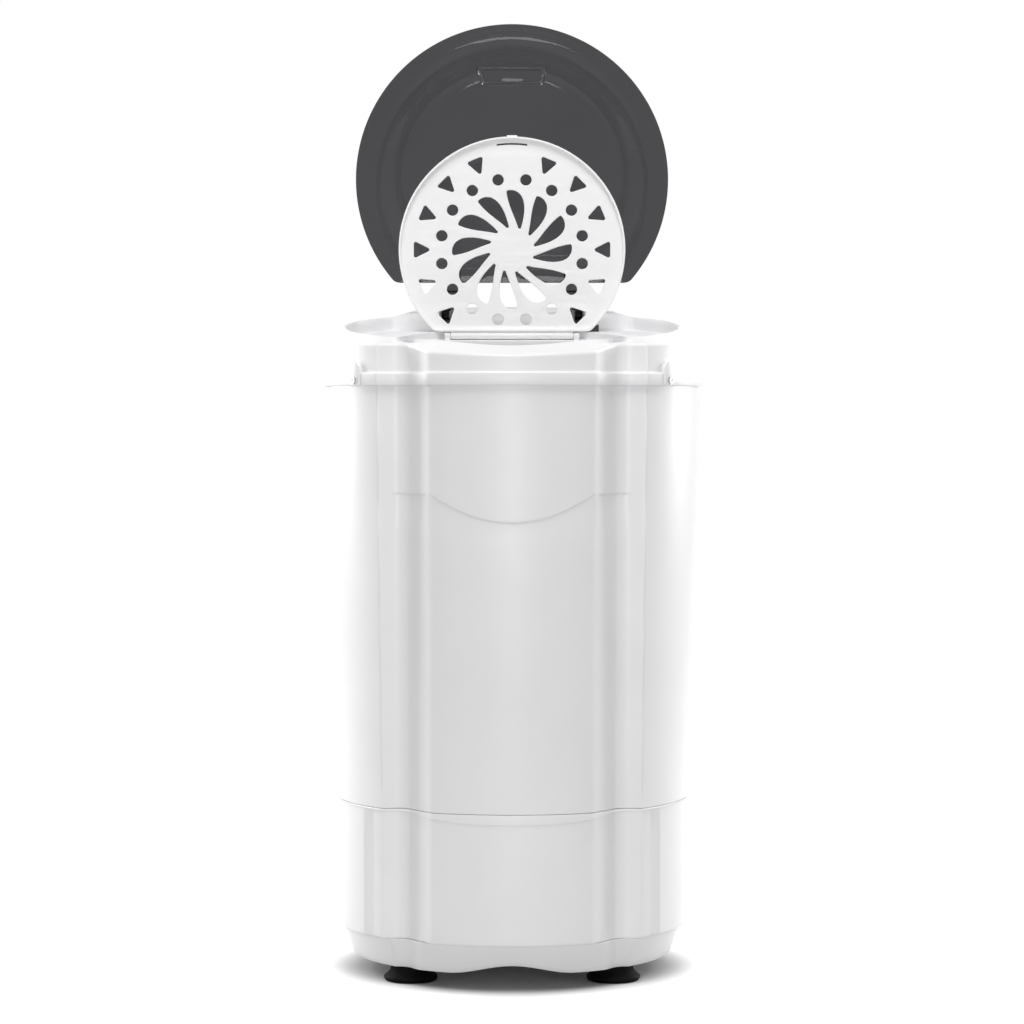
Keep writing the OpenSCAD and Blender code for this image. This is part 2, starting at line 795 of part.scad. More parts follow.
module outer_tub() {
    color("#e6e6e8") difference() {
        union() {
            translate([0, 0, tub_z]) cylinder(h = panel_z - tub_z, r = tub_r);
            upper_form(cabinet_top, panel_z, 0.2);
            translate([0, drain_y, tub_z - 20]) cylinder(h = 21, r = drain_r);
            translate([0, 0, tub_z - 4]) cylinder(h = 5, r = seal_r + 6);
        }
        translate([0, 0, tub_z + tub_t + 0.5]) cylinder(h = tall, r = tub_r - tub_t);
        translate([0, drain_y, tub_z - 21]) cylinder(h = 40, r = drain_r - 2);
        translate([0, 0, tub_z - 5]) cylinder(h = 20, r = seal_r + press_gap);
        translate([arm_x, rod_y, cabinet_top - eps]) cylinder(h = 10, r = rod_r + 0.5);
    }
}

module tub_seal() {
    color(black) {
        tube(seal_r, shaft_r + turn_gap, tub_z - 4, tub_z + tub_t + 0.5);
        tube(seal_r + 4, shaft_r + turn_gap, tub_z + tub_t + 0.5, tub_z + tub_t + 5);
    }
}

module drain_hose() {
    color(black) translate([0, drain_y, 0])
        tube(drain_r + 2.5, drain_r + press_gap, drain_z + 14, tub_z - 1);
}

module drain_outlet() {
    color(black) difference() {
        union() {
            translate([0, drain_y, drain_z]) cylinder(h = 34, r = drain_r);
            translate([0, drain_y, drain_z - elbow_r]) cylinder(h = elbow_r + 14, r = elbow_r);
            translate([0, drain_y, drain_z]) rotate([-90, 0, 0]) {
                cylinder(h = body_r + 1 - drain_y, r = elbow_r);
                cylinder(h = body_r + 1 + spout_l - drain_y, r = drain_r);
            }
        }
        translate([0, drain_y, drain_z]) cylinder(h = 40, r = drain_r - 2);
        translate([0, drain_y, drain_z]) rotate([-90, 0, 0]) cylinder(h = 80, r = drain_r - 2);
    }
}

// ---------------------------------------------------------------- feet and screws

module foot() {
    color(black) difference() {
        rotate_extrude() polygon([
            [0, 0], [foot_r - 2.5, 0], [foot_r, 3.6], [foot_r - 3, 7], [foot_r - 7, 11],
            [foot_r - 8, foot_h], [0, foot_h],
        ]);
        translate([0, 0, -eps]) cylinder(h = 10 + eps, r = 8);
        cylinder(h = foot_h + 1, r = foot_screw_r + press_gap);
    }
}

module foot_front_left() translate([-foot_x, -foot_y, 0]) foot();
module foot_front_right() translate([foot_x, -foot_y, 0]) foot();
module foot_rear_left() translate([-foot_x, foot_y, 0]) foot();
module foot_rear_right() translate([foot_x, foot_y, 0]) foot();

module foot_screws() {
    color(steel) foot_places() {
        translate([0, 0, 7]) cylinder(h = 3, r = 6);
        translate([0, 0, 9]) cylinder(h = foot_h - 3, r = foot_screw_r);
    }
}

// A radial screw whose head seats at radius seat_r and whose tip ends at tip_r.
module radial_screw(tip_r, seat_r, z) {
    difference() {
        union() {
            radial(tip_r, seat_r + 1, z, screw_r - press_gap);
            radial(seat_r, seat_r + 1.8, z, 3.6);
        }
        for (turn = [0, 90]) translate([0, -seat_r - 1.8, z]) rotate([0, turn, 0])
            cube([4.4, 1.6, 0.9], center = true);
    }
}

module seam_screws() {
    color(steel) seam_screw_places() radial_screw(body_r - 16, body_r + 0.4, seam_z + lap / 2);
}

module panel_screws() {
    color(steel) at_screws()
        radial_screw(collar_r - 10, collar_r + collar_t + 1.5, screw_z);
}

module gland_place() rotate([0, 0, 196]) translate([0, 0, 110]) children();

module cord_gland() {
    color(black) gland_place() difference() {
        union() {
            radial(body_r - wall - 6, body_r + 9, 0, gland_r);
            radial(body_r, body_r + 3, 0, gland_r + 4);
        }
        radial(body_r - 20, body_r + 20, 0, cord_r);
    }
}

// ---------------------------------------------------------------- motor

module motor_plate() {
    color(steel) difference() {
        union() {
            translate([0, 0, plate_z]) cylinder(h = plate_t, r = motor_r + 16);
            mount_places() translate([0, 0, plate_z]) cylinder(h = plate_t, r = mount_r + 3);
            mount_places() translate([-mount_ring_r / 2, -mount_r, plate_z])
                cube([mount_ring_r / 2, 2 * mount_r, plate_t]);
            rotate([0, 0, rod_az]) translate([0, -mount_r, plate_z])
                cube([pivot_r + 12, 2 * mount_r, plate_t]);
        }
        translate([0, 0, plate_z - 1]) cylinder(h = 20, r = 20);
        mount_places() translate([0, 0, plate_z - 1]) cylinder(h = 20, r = bolt_r + press_gap);
    }
}

module rubber_mount(az) {
    color(black) rotate([0, 0, az - 90]) translate([mount_ring_r, 0, 0]) {
        tube(mount_r, bolt_r + press_gap, plate_z - mount_h, plate_z - mount_h + 8);
        tube(mount_r - 3, bolt_r + press_gap, plate_z - mount_h, plate_z);
        tube(mount_r, bolt_r + press_gap, plate_z - 8, plate_z);
    }
}

module mount_front() rubber_mount(0);
module mount_rear_right() rubber_mount(120);
module mount_rear_left() rubber_mount(240);

module mount_bolts() {
    color(steel) mount_places() {
        translate([0, 0, plate_z - mount_h - 10]) cylinder(h = mount_h + 14, r = bolt_r);
        translate([0, 0, plate_z + plate_t]) cylinder(h = 5, r = 5.8, $fn = 6);
    }
}

module motor_housing() {
    color("#8f9498") difference() {
        translate([0, 0, motor_low]) cylinder(h = motor_h, r = motor_r);
        translate([0, 0, stack_z]) cylinder(h = motor_h, r = motor_r - 5);
        translate([0, 0, motor_low + cover_t]) cylinder(h = motor_h, r = bearing_r + press_gap);
        translate([0, 0, motor_low - 1]) cylinder(h = motor_h, r = shaft_r + 1);
    }
}

module motor_cover() {
    color("#8f9498") difference() {
        union() {
            translate([0, 0, plate_z - cover_t]) cylinder(h = cover_t, r = motor_r);
            translate([0, 0, plate_z - cover_t - bearing_h]) cylinder(h = bearing_h + 1, r = bearing_r + 4);
        }
        translate([0, 0, plate_z - cover_t - bearing_h - 1])
            cylinder(h = bearing_h + 1, r = bearing_r + press_gap);
        translate([0, 0, plate_z - cover_t - bearing_h - 4]) cylinder(h = 30, r = shaft_r + 1);
    }
}

module bearing(z) tube(bearing_r, shaft_r + press_gap, z, z + bearing_h);

module lower_bearing() color(steel) bearing(motor_low + cover_t);
module upper_bearing() color(steel) bearing(plate_z - cover_t - bearing_h);

module stator() {
    color("#a5653a") tube(motor_r - 5 - press_gap, rotor_r + rotor_gap, stack_z, stack_z + stack_h);
}

module rotor() {
    color(steel) tube(rotor_r, shaft_r + press_gap, stack_z + 2, stack_z + stack_h - 2);
}

module drive_shaft() {
    low = motor_low + 2;
    color(steel) translate([0, 0, low]) cylinder(h = basket_z + 20 - low, r = shaft_r);
}

module capacitor() {
    color("#d8d8da") translate([-can_x, -can_y, floor_z]) {
        cylinder(h = can_h, r = can_r);
        cylinder(h = can_h + 6, r = 8);
    }
}

module capacitor_clip() {
    strap_out = can_r + 1.5;
    color(steel) translate([-can_x, -can_y, floor_z]) {
        tube(strap_out, can_r + press_gap, 18, 34);
        translate([strap_out - 0.7, -6, 0]) cube([2, 12, 34]);
        translate([strap_out - 0.7, -6, 0]) cube([14, 12, 2]);
    }
}

// ---------------------------------------------------------------- spin basket

module basket() {
    top = ring_top - ring_h;
    color(steel) difference() {
        translate([0, 0, basket_z]) cylinder(h = top - basket_z, r = basket_r);
        translate([0, 0, basket_z + basket_t]) cylinder(h = tall, r = basket_r - basket_t);
        translate([0, 0, basket_z - 1]) cylinder(h = 5, r = shaft_r + press_gap);
        for (row = [1 : basket_rows], col = [0 : basket_cols - 1])
            rotate([0, 0, 360 / basket_cols * (col + row % 2 / 2)])
            translate([0, 0, basket_z + (top - basket_z) * row / (basket_rows + 1)])
            radial(basket_r - 8, basket_r + 8, 0, basket_hole_r);
    }
}

module ring_form() {
    low = ring_top - ring_h;
    difference() {
        union() {
            tube(basket_r + 2, ring_in_r, low, ring_top);
            tube(basket_r - basket_t - press_gap, ring_in_r, low - 8, low + 1);
        }
        tube(basket_r - basket_t - 3, ring_in_r + 3, low - 10, ring_top - 3);
    }
}

module basket_ring_left() color(white) half(-1) ring_form();
module basket_ring_right() color(white) half(1) ring_form();

module basket_hub() {
    color("#8f9498") difference() {
        union() {
            translate([0, 0, basket_z - 8]) cylinder(h = 8, r = 34);
            translate([0, 0, basket_z - 13]) cylinder(h = 6, r = 15);
        }
        translate([0, 0, basket_z - 20]) cylinder(h = 30, r = shaft_r + press_gap);
    }
}

module hub_nut() {
    color(steel) difference() {
        translate([0, 0, basket_z + basket_t]) cylinder(h = 10, r = 13, $fn = 6);
        translate([0, 0, basket_z]) cylinder(h = 30, r = shaft_r + press_gap);
    }
}

// ---------------------------------------------------------------- brake

module brake_drum() {
    color("#8f9498") difference() {
        union() {
            translate([0, 0, drum_z]) cylinder(h = drum_h, r = drum_r);
            translate([0, 0, drum_z - 4]) cylinder(h = 6, r = 14);
        }
        translate([0, 0, drum_z + 4]) cylinder(h = drum_h, r = drum_r - 4);
        translate([0, 0, drum_z - 10]) cylinder(h = 40, r = shaft_r + press_gap);
    }
}

module brake_frame() rotate([0, 0, rod_az]) children();

module brake_bracket() {
    color(steel) brake_frame() difference() {
        union() {
            for (side = [-1, 1]) translate([pivot_r - 8, side * 9 - 1.5, plate_z + plate_t])
                cube([16, 3, 16]);
            translate([pivot_r - 8, -10.5, plate_z + plate_t]) cube([16, 21, 2]);
        }
        translate([pivot_r, 0, pivot_z]) rotate([90, 0, 0])
            cylinder(h = 40, r = pin_r + press_gap, center = true);
    }
}

module brake_pivot_pin() {
    color(steel) brake_frame() translate([pivot_r, 0, pivot_z]) rotate([90, 0, 0])
        cylinder(h = 24, r = pin_r, center = true);
}

module brake_arm() {
    color(steel) brake_frame() difference() {
        union() {
            translate([pivot_r, 0, pivot_z]) rotate([90, 0, 0]) cylinder(h = 14, r = 6, center = true);
            translate([pivot_r, -5, pivot_z - 3]) cube([arm_reach + 6, 10, 6]);
            translate([pivot_r - 4, -5, pivot_z]) cube([8, 10, 20]);
            translate([drum_r + 8, -5, pivot_z + 12]) cube([pivot_r - drum_r - 8, 10, 8]);
        }
        translate([pivot_r, 0, pivot_z]) rotate([90, 0, 0])
            cylinder(h = 40, r = pin_r + turn_gap, center = true);
    }
}

module brake_pad() {
    color(black) brake_frame() difference() {
        translate([drum_r - 1, -9, pivot_z + 9]) cube([9, 18, 13]);
        cylinder(h = tall, r = drum_r + touch_gap);
    }
}

module brake_rod() {
    low = pivot_z + 3 + touch_gap;
    top = rim_z + (rod_y - rod_r) * tan(slant) + (flange_z - touch_gap) / cos(slant) + press_travel;
    color(steel) translate([arm_x, rod_y, 0]) {
        translate([0, 0, low]) cylinder(h = top - low, r = rod_r);
        translate([0, 0, panel_z + 30]) cylinder(h = 3, r = 7);
    }
}

module brake_spring() {
    color(steel) translate([arm_x, rod_y, 0]) tube(6, rod_r + 0.6, panel_z, panel_z + 30);
}

// ---------------------------------------------------------------- lid switch

module switch_place() slanted() translate([plunger_x, plunger_y, 0]) children();

// The room that the panel's lip leaves for the switch.
module switch_room() {
    switch_place() translate([-switch_half - pass_gap, -switch_front - pass_gap, -deck_drop - 50])
        cube([2 * (switch_half + pass_gap), switch_l + 2 * pass_gap, 51]);
}

module switch_plunger() {
    color(black) switch_place() {
        translate([-plunger_w / 2, -plunger_l / 2, -deck_drop - plunger_foot])
            cube([plunger_w, plunger_l, plunger_foot + press_travel]);
        translate([0, 0, -deck_drop - plunger_foot - 10]) cylinder(h = 12, r = stem_r);
    }
}

// The body hangs under the deck by two ears that stand beside the plunger.
module switch_body() {
    top = -deck_drop - plunger_foot - press_travel - 1;
    ear_h = -deck_drop - wall - top;
    color(black) switch_place() difference() {
        union() {
            translate([-switch_half, -switch_front, top - switch_h])
                cube([2 * switch_half, switch_l, switch_h]);
            both_sides() translate([switch_half - 2, -1, top - 1])
                cube([2, switch_l - switch_front + 1, ear_h + 1]);
        }
        translate([0, 0, top - 12]) cylinder(h = 20, r = stem_r + turn_gap);
    }
}

// ---------------------------------------------------------------- assembly

base_shell();
cabinet_shell();
top_panel();
loading_deck_left();
loading_deck_right();
outer_tub();
tub_seal();
drain_hose();
drain_outlet();
foot_front_left();
foot_front_right();
foot_rear_left();
foot_rear_right();
foot_screws();
seam_screws();
panel_screws();
motor_plate();
mount_front();
mount_rear_left();
mount_rear_right();
mount_bolts();
motor_housing();
motor_cover();
stator();
lower_bearing();
upper_bearing();
capacitor();
capacitor_clip();
cord_gland();
switch_body();
brake_bracket();
brake_pivot_pin();
brake_spring();
lid_hinge_pins();
cover_hinge_pins();
lid();
inner_cover();
basket();
basket_ring_left();
basket_ring_right();
basket_hub();
hub_nut();
drive_shaft();
rotor();
brake_drum();
brake_rod();
brake_arm();
brake_pad();
switch_plunger();
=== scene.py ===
import json
import math

import bmesh
import bpy
import numpy as np
from mathutils import Matrix, Vector


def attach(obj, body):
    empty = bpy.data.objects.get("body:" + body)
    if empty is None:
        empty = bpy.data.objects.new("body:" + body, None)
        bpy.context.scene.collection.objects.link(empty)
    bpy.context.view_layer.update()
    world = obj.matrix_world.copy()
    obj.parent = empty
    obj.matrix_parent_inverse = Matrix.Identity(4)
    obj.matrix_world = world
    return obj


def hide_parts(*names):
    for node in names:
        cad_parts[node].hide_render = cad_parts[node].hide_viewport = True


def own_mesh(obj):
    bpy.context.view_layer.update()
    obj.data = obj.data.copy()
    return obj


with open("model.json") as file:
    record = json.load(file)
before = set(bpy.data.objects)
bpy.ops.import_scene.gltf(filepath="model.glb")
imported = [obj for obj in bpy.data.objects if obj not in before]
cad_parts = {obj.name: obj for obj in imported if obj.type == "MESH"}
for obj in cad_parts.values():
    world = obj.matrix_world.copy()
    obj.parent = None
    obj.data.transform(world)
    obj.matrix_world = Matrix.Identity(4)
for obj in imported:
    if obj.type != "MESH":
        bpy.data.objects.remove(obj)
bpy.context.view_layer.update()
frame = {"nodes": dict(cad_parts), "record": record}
print("stage: frame loaded")

# Lengths are in millimetres until a mesh is finished. The front is -Y, azimuths run from there.
metres = 0.001  # a millimetre in metres
sharpAngle = 38  # past this many degrees an edge stays sharp
rodSides = 48

# Walls that the shells share: r is the radius at height z, lean is in degrees, out moves flutes.
walls = {
    "cabinet": {"r": 178.0, "z": 175.0, "lean": 1.6, "out": 0.0},
    "upper": {"r": 189.648, "z": 0.0, "lean": 0.0, "out": 11.648},
    "base": {"r": 178.0, "z": 0.0, "lean": 0.0, "out": 0.0},
    "skirt": {"r": 173.0, "z": 46.0, "lean": 20.77, "out": -5.0},
}
flute = {"edge": (128.0, 123.69), "corner": (106.0, 119.69), "panel": (79.0, 159.5), "bend": 16.0,
         "soften": 0.5, "cornerSteps": 12, "panelSteps": 10, "spacing": 2, "floorReach": 3,
         "panelReach": 60, "insetAcross": 0.5, "insetIn": 1.2, "beyond": 400}
top = {"z": 654.0, "slant": 6.0, "openR": 169.0, "openFlat": 113.0, "deck": -14.0, "rebate": -22.0,
       "rebateR": 120.0, "rebateFlat": 95.5, "mouthR": 108.0, "mouthFlat": 78.0, "openTurn": 100}

slantMatrix = (Matrix.Translation((0, 0, top["z"]))
               @ Matrix.Rotation(math.radians(top["slant"]), 4, "X"))


def openedMatrix(y, z):  # swings a cover from its closed place to its open one
    hinge = Matrix.Translation((0, y, z))
    swing = Matrix.Rotation(math.radians(-top["openTurn"]), 4, "X")
    return slantMatrix @ hinge @ swing @ hinge.inverted()


def softMin(a, b, width):
    gap = max(width - abs(a - b), 0)
    return min(a, b) - gap * gap / (4 * width)


def ease(t):
    t = min(max(t, 0), 1)
    return t * t * (3 - 2 * t)


def polar(r, a, z):
    return Vector((r * math.sin(a), -r * math.cos(a), z))


def cornerArc(p, q, s, radius, steps):
    a, b = (p - q).normalized(), (s - q).normalized()
    half = math.acos(a.dot(b)) / 2
    hub = q + (a + b).normalized() * radius / math.sin(half)
    first = (q + a * radius / math.tan(half) - hub).normalized()
    last = (q + b * radius / math.tan(half) - hub).normalized()
    return [hub + radius * (first * (1 - i / steps) + last * i / steps).normalized()
            for i in range(steps + 1)]


def fluteLine():  # one flute in plan, from beyond its floor to along the front panel
    edge, corner, panel = (Vector(flute[k]) for k in ("edge", "corner", "panel"))
    floorEnd = edge + flute["floorReach"] * (edge - corner)
    panelEnd = panel + flute["panelReach"] * Vector((-panel.y, panel.x)).normalized()
    points = [floorEnd, *cornerArc(floorEnd, corner, panel, flute["bend"], flute["cornerSteps"]),
              *cornerArc(corner, panel, panelEnd, flute["bend"], flute["panelSteps"]), panelEnd]
    dense = []
    for p, q in zip(points, points[1:]):
        steps = max(1, int((q - p).length / flute["spacing"]))
        dense += [p.lerp(q, i / steps) for i in range(steps)]
    return np.array([tuple(p) for p in dense + [panelEnd]])


flutePoints = fluteLine()
fluteCache = {}


def wallRadius(kind, a, z, inset=0.0):
    wall = walls[kind]
    lean = math.radians(wall["lean"])
    key = (kind, round(z, 3), round(inset, 3))
    if key not in fluteCache:
        x = flutePoints[:, 0] - flute["insetAcross"] * inset
        y = (flutePoints[:, 1] - flute["insetIn"] * inset) / math.cos(lean)
        y = y + (z - wall["z"]) * math.tan(lean) + wall["out"]
        fluteCache[key] = (np.arctan2(x, y)[::-1], np.hypot(x, y)[::-1])
    around, radii = fluteCache[key]
    folded = math.atan2(abs(math.sin(a)), abs(math.cos(a)))
    circle = wall["r"] + (z - wall["z"]) * math.tan(lean) - inset
    fluted = np.interp(folded, around, radii, left=flute["beyond"], right=flute["beyond"])
    return softMin(circle, float(fluted), flute["soften"])


# A shell is a ring of columns that is extruded row by row. Angles are in degrees.
stripAzimuth, stripHalf = 53.0, 8.5
columnPlan = {"step": 0.8, "count": 113, "fineFrom": 38, "fineStep": 0.4, "fineCount": 25,
              "besideStrip": 0.12, "fluteEdges": (26.35, 45.98), "apart": 0.1, "weld": 0.004}


def columnAngles():
    c = columnPlan
    quarter = {round(i * c["step"], 3) for i in range(c["count"])}
    quarter |= {round(c["fineFrom"] + i * c["fineStep"], 3) for i in range(c["fineCount"])}
    strip = math.degrees(math.asin(stripHalf / walls["base"]["r"]))
    for edge in (stripAzimuth - strip, stripAzimuth + strip):
        quarter |= {round(edge - c["besideStrip"], 3), round(edge + c["besideStrip"], 3)}
    quarter |= {*c["fluteEdges"], 90.0}
    kept = []
    for a in sorted(quarter):
        if a <= 90 and (not kept or a - kept[-1] > c["apart"]):
            kept.append(a)
    half = kept + [180 - a for a in reversed(kept[:-1])]
    return [math.radians(a) for a in half + [360 - a for a in reversed(half[1:-1])]]


columns = columnAngles()


def skin(mesh, rows):  # each row turns a column's angle into a point
    layer = mesh.verts.layers.int.new("column") if not mesh.verts.layers.int else \
        mesh.verts.layers.int["column"]
    ring = bmesh.ops.create_circle(mesh, segments=len(columns), radius=1)["verts"]
    for v in ring:  # numbered by its angle, because the operator's list comes in any order
        turn = math.atan2(-v.co.x, v.co.y) / (2 * math.pi)
        v[layer] = round(turn * len(columns)) % len(columns)
        v.co = rows[0](columns[v[layer]])
    edges = list({e for v in ring for e in v.link_edges})
    made = list(ring)
    for row in rows[1:]:
        grown = bmesh.ops.extrude_edge_only(mesh, edges=edges)["geom"]
        fresh = {g for g in grown if isinstance(g, bmesh.types.BMVert)}
        edges = [g for g in grown if isinstance(g, bmesh.types.BMEdge)
                 and g.verts[0] in fresh and g.verts[1] in fresh]
        for v in fresh:
            v.co = row(columns[v[layer]])
        made += fresh
    bmesh.ops.remove_doubles(mesh, verts=made, dist=columnPlan["weld"])


def smoothShade(data, sharp=sharpAngle):
    data.shade_smooth()
    data.set_sharp_from_angle(angle=math.radians(sharp))


def meshObject(name, mesh, matrix=None, sharp=sharpAngle):
    bmesh.ops.recalc_face_normals(mesh, faces=mesh.faces[:])
    bmesh.ops.transform(mesh, matrix=Matrix.Scale(metres, 4) @ (matrix or Matrix.Identity(4)),
                        verts=mesh.verts[:])
    data = bpy.data.meshes.new(name)
    mesh.to_mesh(data)
    mesh.free()
    smoothShade(data, sharp)
    obj = bpy.data.objects.new(name, data)
    bpy.context.scene.collection.objects.link(obj)
    return obj


def joinForms(obj, extra, matrix=None):  # adds forms in millimetres to a finished mesh
    bmesh.ops.recalc_face_normals(extra, faces=extra.faces[:])
    bmesh.ops.scale(extra, vec=(metres, metres, metres), verts=extra.verts[:])
    extra.from_mesh(obj.data)
    if matrix:
        bmesh.ops.transform(extra, matrix=matrix, verts=extra.verts[:])
    extra.to_mesh(obj.data)
    extra.free()
    smoothShade(obj.data)


def carve(obj, cutter, operation="DIFFERENCE"):
    step = obj.modifiers.new("carve", "BOOLEAN")
    step.operation, step.solver, step.object = operation, "EXACT", cutter
    view = bpy.context.evaluated_depsgraph_get()
    data = bpy.data.meshes.new_from_object(obj.evaluated_get(view))
    obj.modifiers.clear()
    obj.data = data
    smoothShade(data)
    bpy.data.objects.remove(cutter)


def softened(mesh, made, edges, soft, segments):  # bevels edges and gives all the vertices back
    grown = bmesh.ops.bevel(mesh, geom=edges, offset=soft, segments=segments, profile=0.5,
                            material=-1, affect="EDGES")
    return list({v for v in made if v.is_valid} | set(grown["verts"]))


def addBlock(mesh, low, high, soft=0.0, matrix=None):
    made = bmesh.ops.create_cube(mesh, size=1)["verts"]
    size = Vector(high) - Vector(low)
    middle = (Vector(high) + Vector(low)) / 2
    place = Matrix.Translation(middle) @ Matrix.Diagonal((*size, 1))
    bmesh.ops.transform(mesh, matrix=place, verts=made)
    if soft:
        made = softened(mesh, made, list({e for v in made for e in v.link_edges}), soft, 3)
    if matrix:
        bmesh.ops.transform(mesh, matrix=matrix, verts=made)
    return made


def addRod(mesh, start, end, r, soft=0.0):
    start, end = Vector(start), Vector(end)
    made = bmesh.ops.create_cone(mesh, cap_ends=True, segments=rodSides, radius1=r, radius2=r,
                                 depth=(end - start).length)["verts"]
    if soft:
        edges = {e for v in made for e in v.link_edges}
        rim = [e for e in edges if abs(e.verts[0].co.z - e.verts[1].co.z) < 0.01]
        made = softened(mesh, made, rim, soft, 2)
    turn = Vector((0, 0, 1)).rotation_difference(end - start).to_matrix().to_4x4()
    bmesh.ops.transform(mesh, matrix=Matrix.Translation((start + end) / 2) @ turn, verts=made)
    return made


def linear(hexColour):
    parts = [int(hexColour[i:i + 2], 16) / 255 for i in (1, 3, 5)]
    return (*[p / 12.92 if p <= 0.04045 else ((p + 0.055) / 1.055) ** 2.4 for p in parts], 1.0)


def addNode(tree, kind, settings=None, links=None):  # a name or a number picks the socket
    node = tree.nodes.new(kind)
    for name, value in (settings or {}).items():
        if isinstance(name, int) or name in node.inputs:
            node.inputs[name].default_value = value
        else:
            setattr(node, name, value)
    for name, source in (links or {}).items():
        tree.links.new(source, node.inputs[name])
    return node


def newMaterial(name, **shader):
    material = bpy.data.materials.new(name)
    material.use_nodes = True
    tree = material.node_tree
    tree.nodes.clear()
    surface = addNode(tree, "ShaderNodeBsdfPrincipled", shader)
    addNode(tree, "ShaderNodeOutputMaterial", links={"Surface": surface.outputs["BSDF"]})
    place = addNode(tree, "ShaderNodeTexCoord").outputs["Object"]
    return material, tree, surface, place


# A noise of Scale s has features about 1000 / s mm across. These are shared by the finishes.
finish = {"flow": 9, "gloss": 60, "glossDown": 0.03, "glossUp": 0.04, "noiseLow": 0.3,
          "noiseHigh": 0.7, "metalGloss": 0.7, "metalDown": 0.06, "metalUp": 0.08}


def mottle(tree, place, scale, low, high, detail=3.0, squeeze=None):
    if squeeze:
        place = addNode(tree, "ShaderNodeMapping", {"Scale": squeeze}, {"Vector": place}).outputs[0]
    noise = addNode(tree, "ShaderNodeTexNoise", {"Scale": scale, "Detail": detail},
                    {"Vector": place})
    spread = {"From Min": finish["noiseLow"], "From Max": finish["noiseHigh"], "To Min": low,
              "To Max": high}
    return addNode(tree, "ShaderNodeMapRange", spread,
                   {"Value": noise.outputs["Fac"]}).outputs["Result"]


def twoTone(tree, surface, pattern, dark, light):  # the pattern turns the colour dark to light
    tones = {"data_type": "RGBA", 6: linear(dark), 7: linear(light)}
    shade = addNode(tree, "ShaderNodeMix", tones, {0: pattern})
    tree.links.new(shade.outputs[2], surface.inputs["Base Color"])


def grain(tree, surface, place, scale, height, squeeze=None):  # height in metres
    texture = mottle(tree, place, scale, 0.0, 1.0, 2.0, squeeze)
    bump = addNode(tree, "ShaderNodeBump", {"Strength": 1.0, "Distance": height},
                   {"Height": texture})
    tree.links.new(bump.outputs["Normal"], surface.inputs["Normal"])


def mouldedPlastic(name, dark, light, rough, grainScale, grainHeight, **shader):
    # Injection-moulded: flow shading about 110 mm across, gloss patches about 17 mm. The skin that
    # the mould leaves is finer than shows, so it is drawn 1.1 to 2.4 mm coarse.
    f = finish
    material, tree, surface, place = newMaterial(name, IOR=1.49, **shader)
    twoTone(tree, surface, mottle(tree, place, f["flow"], 0, 1), dark, light)
    gloss = mottle(tree, place, f["gloss"], rough - f["glossDown"], rough + f["glossUp"])
    tree.links.new(gloss, surface.inputs["Roughness"])
    grain(tree, surface, place, grainScale, grainHeight)
    return material


def finishedMetal(name, dark, light, rough, squeeze, scale, height, **shader):
    # Metal: a colour of its own, roughness broken up along the way it was worked
    f = finish
    material, tree, surface, place = newMaterial(name, Metallic=1.0, **shader)
    twoTone(tree, surface, mottle(tree, place, scale, 0, 1, 4.0, squeeze), dark, light)
    gloss = mottle(tree, place, scale * f["metalGloss"], rough - f["metalDown"],
                   rough + f["metalUp"], 3.0, squeeze)
    tree.links.new(gloss, surface.inputs["Roughness"])
    grain(tree, surface, place, scale, height, squeeze)
    return material


# White polypropylene shells: soft gloss, a trace of unevenness in the reflections
whitePolypropylene = mouldedPlastic("whitePolypropylene", "#eeeeef", "#f2f2f3", 0.34, 700,
                                    0.000006)
# The cover's polypropylene is smoother and a touch lighter
coverPolypropylene = mouldedPlastic("coverPolypropylene", "#f7f7f7", "#fafafa", 0.3, 900,
                                    0.000004)
# Tub: unpainted polypropylene, matter than the shells
tubPolypropylene = mouldedPlastic("tubPolypropylene", "#dedee0", "#e6e6e8", 0.5, 500, 0.00002)
# Balance ring: between shell and tub in gloss
ringPolypropylene = mouldedPlastic("ringPolypropylene", "#e4e4e6", "#ececee", 0.42, 500, 0.00001)
# Nitrile rubber: matt, slightly bloomed grey on black
mouldedRubber = mouldedPlastic("mouldedRubber", "#040404", "#070707", 0.75, 900, 0.00002,
                               **{"Specular IOR Level": 0.12})
# Black ABS of switch, drain and gland: satin
blackAbs = mouldedPlastic("blackAbs", "#141415", "#1b1b1c", 0.42, 800, 0.00001)
# Capacitor can: pale satin plastic
capacitorPlastic = mouldedPlastic("capacitorPlastic", "#d4d4d6", "#dededf", 0.4, 600, 0.00001)
# Friction lining: pressed fibre and resin, coarse and dull
brakeLining = mouldedPlastic("brakeLining", "#2a2623", "#45403a", 0.85, 420, 0.00008)
# Drum sheet: stainless steel brushed round the drum, in level streaks 11 mm long, 0.4 mm apart
brushedStainless = finishedMetal("brushedStainless", "#b4b6b8", "#c6c8ca", 0.3, (1, 1, 26), 90,
                                 0.000006, Anisotropic=0.4)
# Zinc-plated steel: pale, cloudy spangle of some 4 mm
zincSteel = finishedMetal("zincSteel", "#a9acb0", "#c3c6ca", 0.36, (1, 1, 1), 240, 0.000008)
# Cast aluminium: dull sand-like skin of about 1.3 mm
castAluminium = finishedMetal("castAluminium", "#9a9da0", "#b3b6b8", 0.52, (1, 1, 1), 800,
                              0.00005)
# Stator: stacked laminations and varnished copper, level lines some 0.8 mm apart
laminatedCore = finishedMetal("laminatedCore", "#7d4a2a", "#a5653a", 0.4, (1, 1, 30), 40, 0.00003)

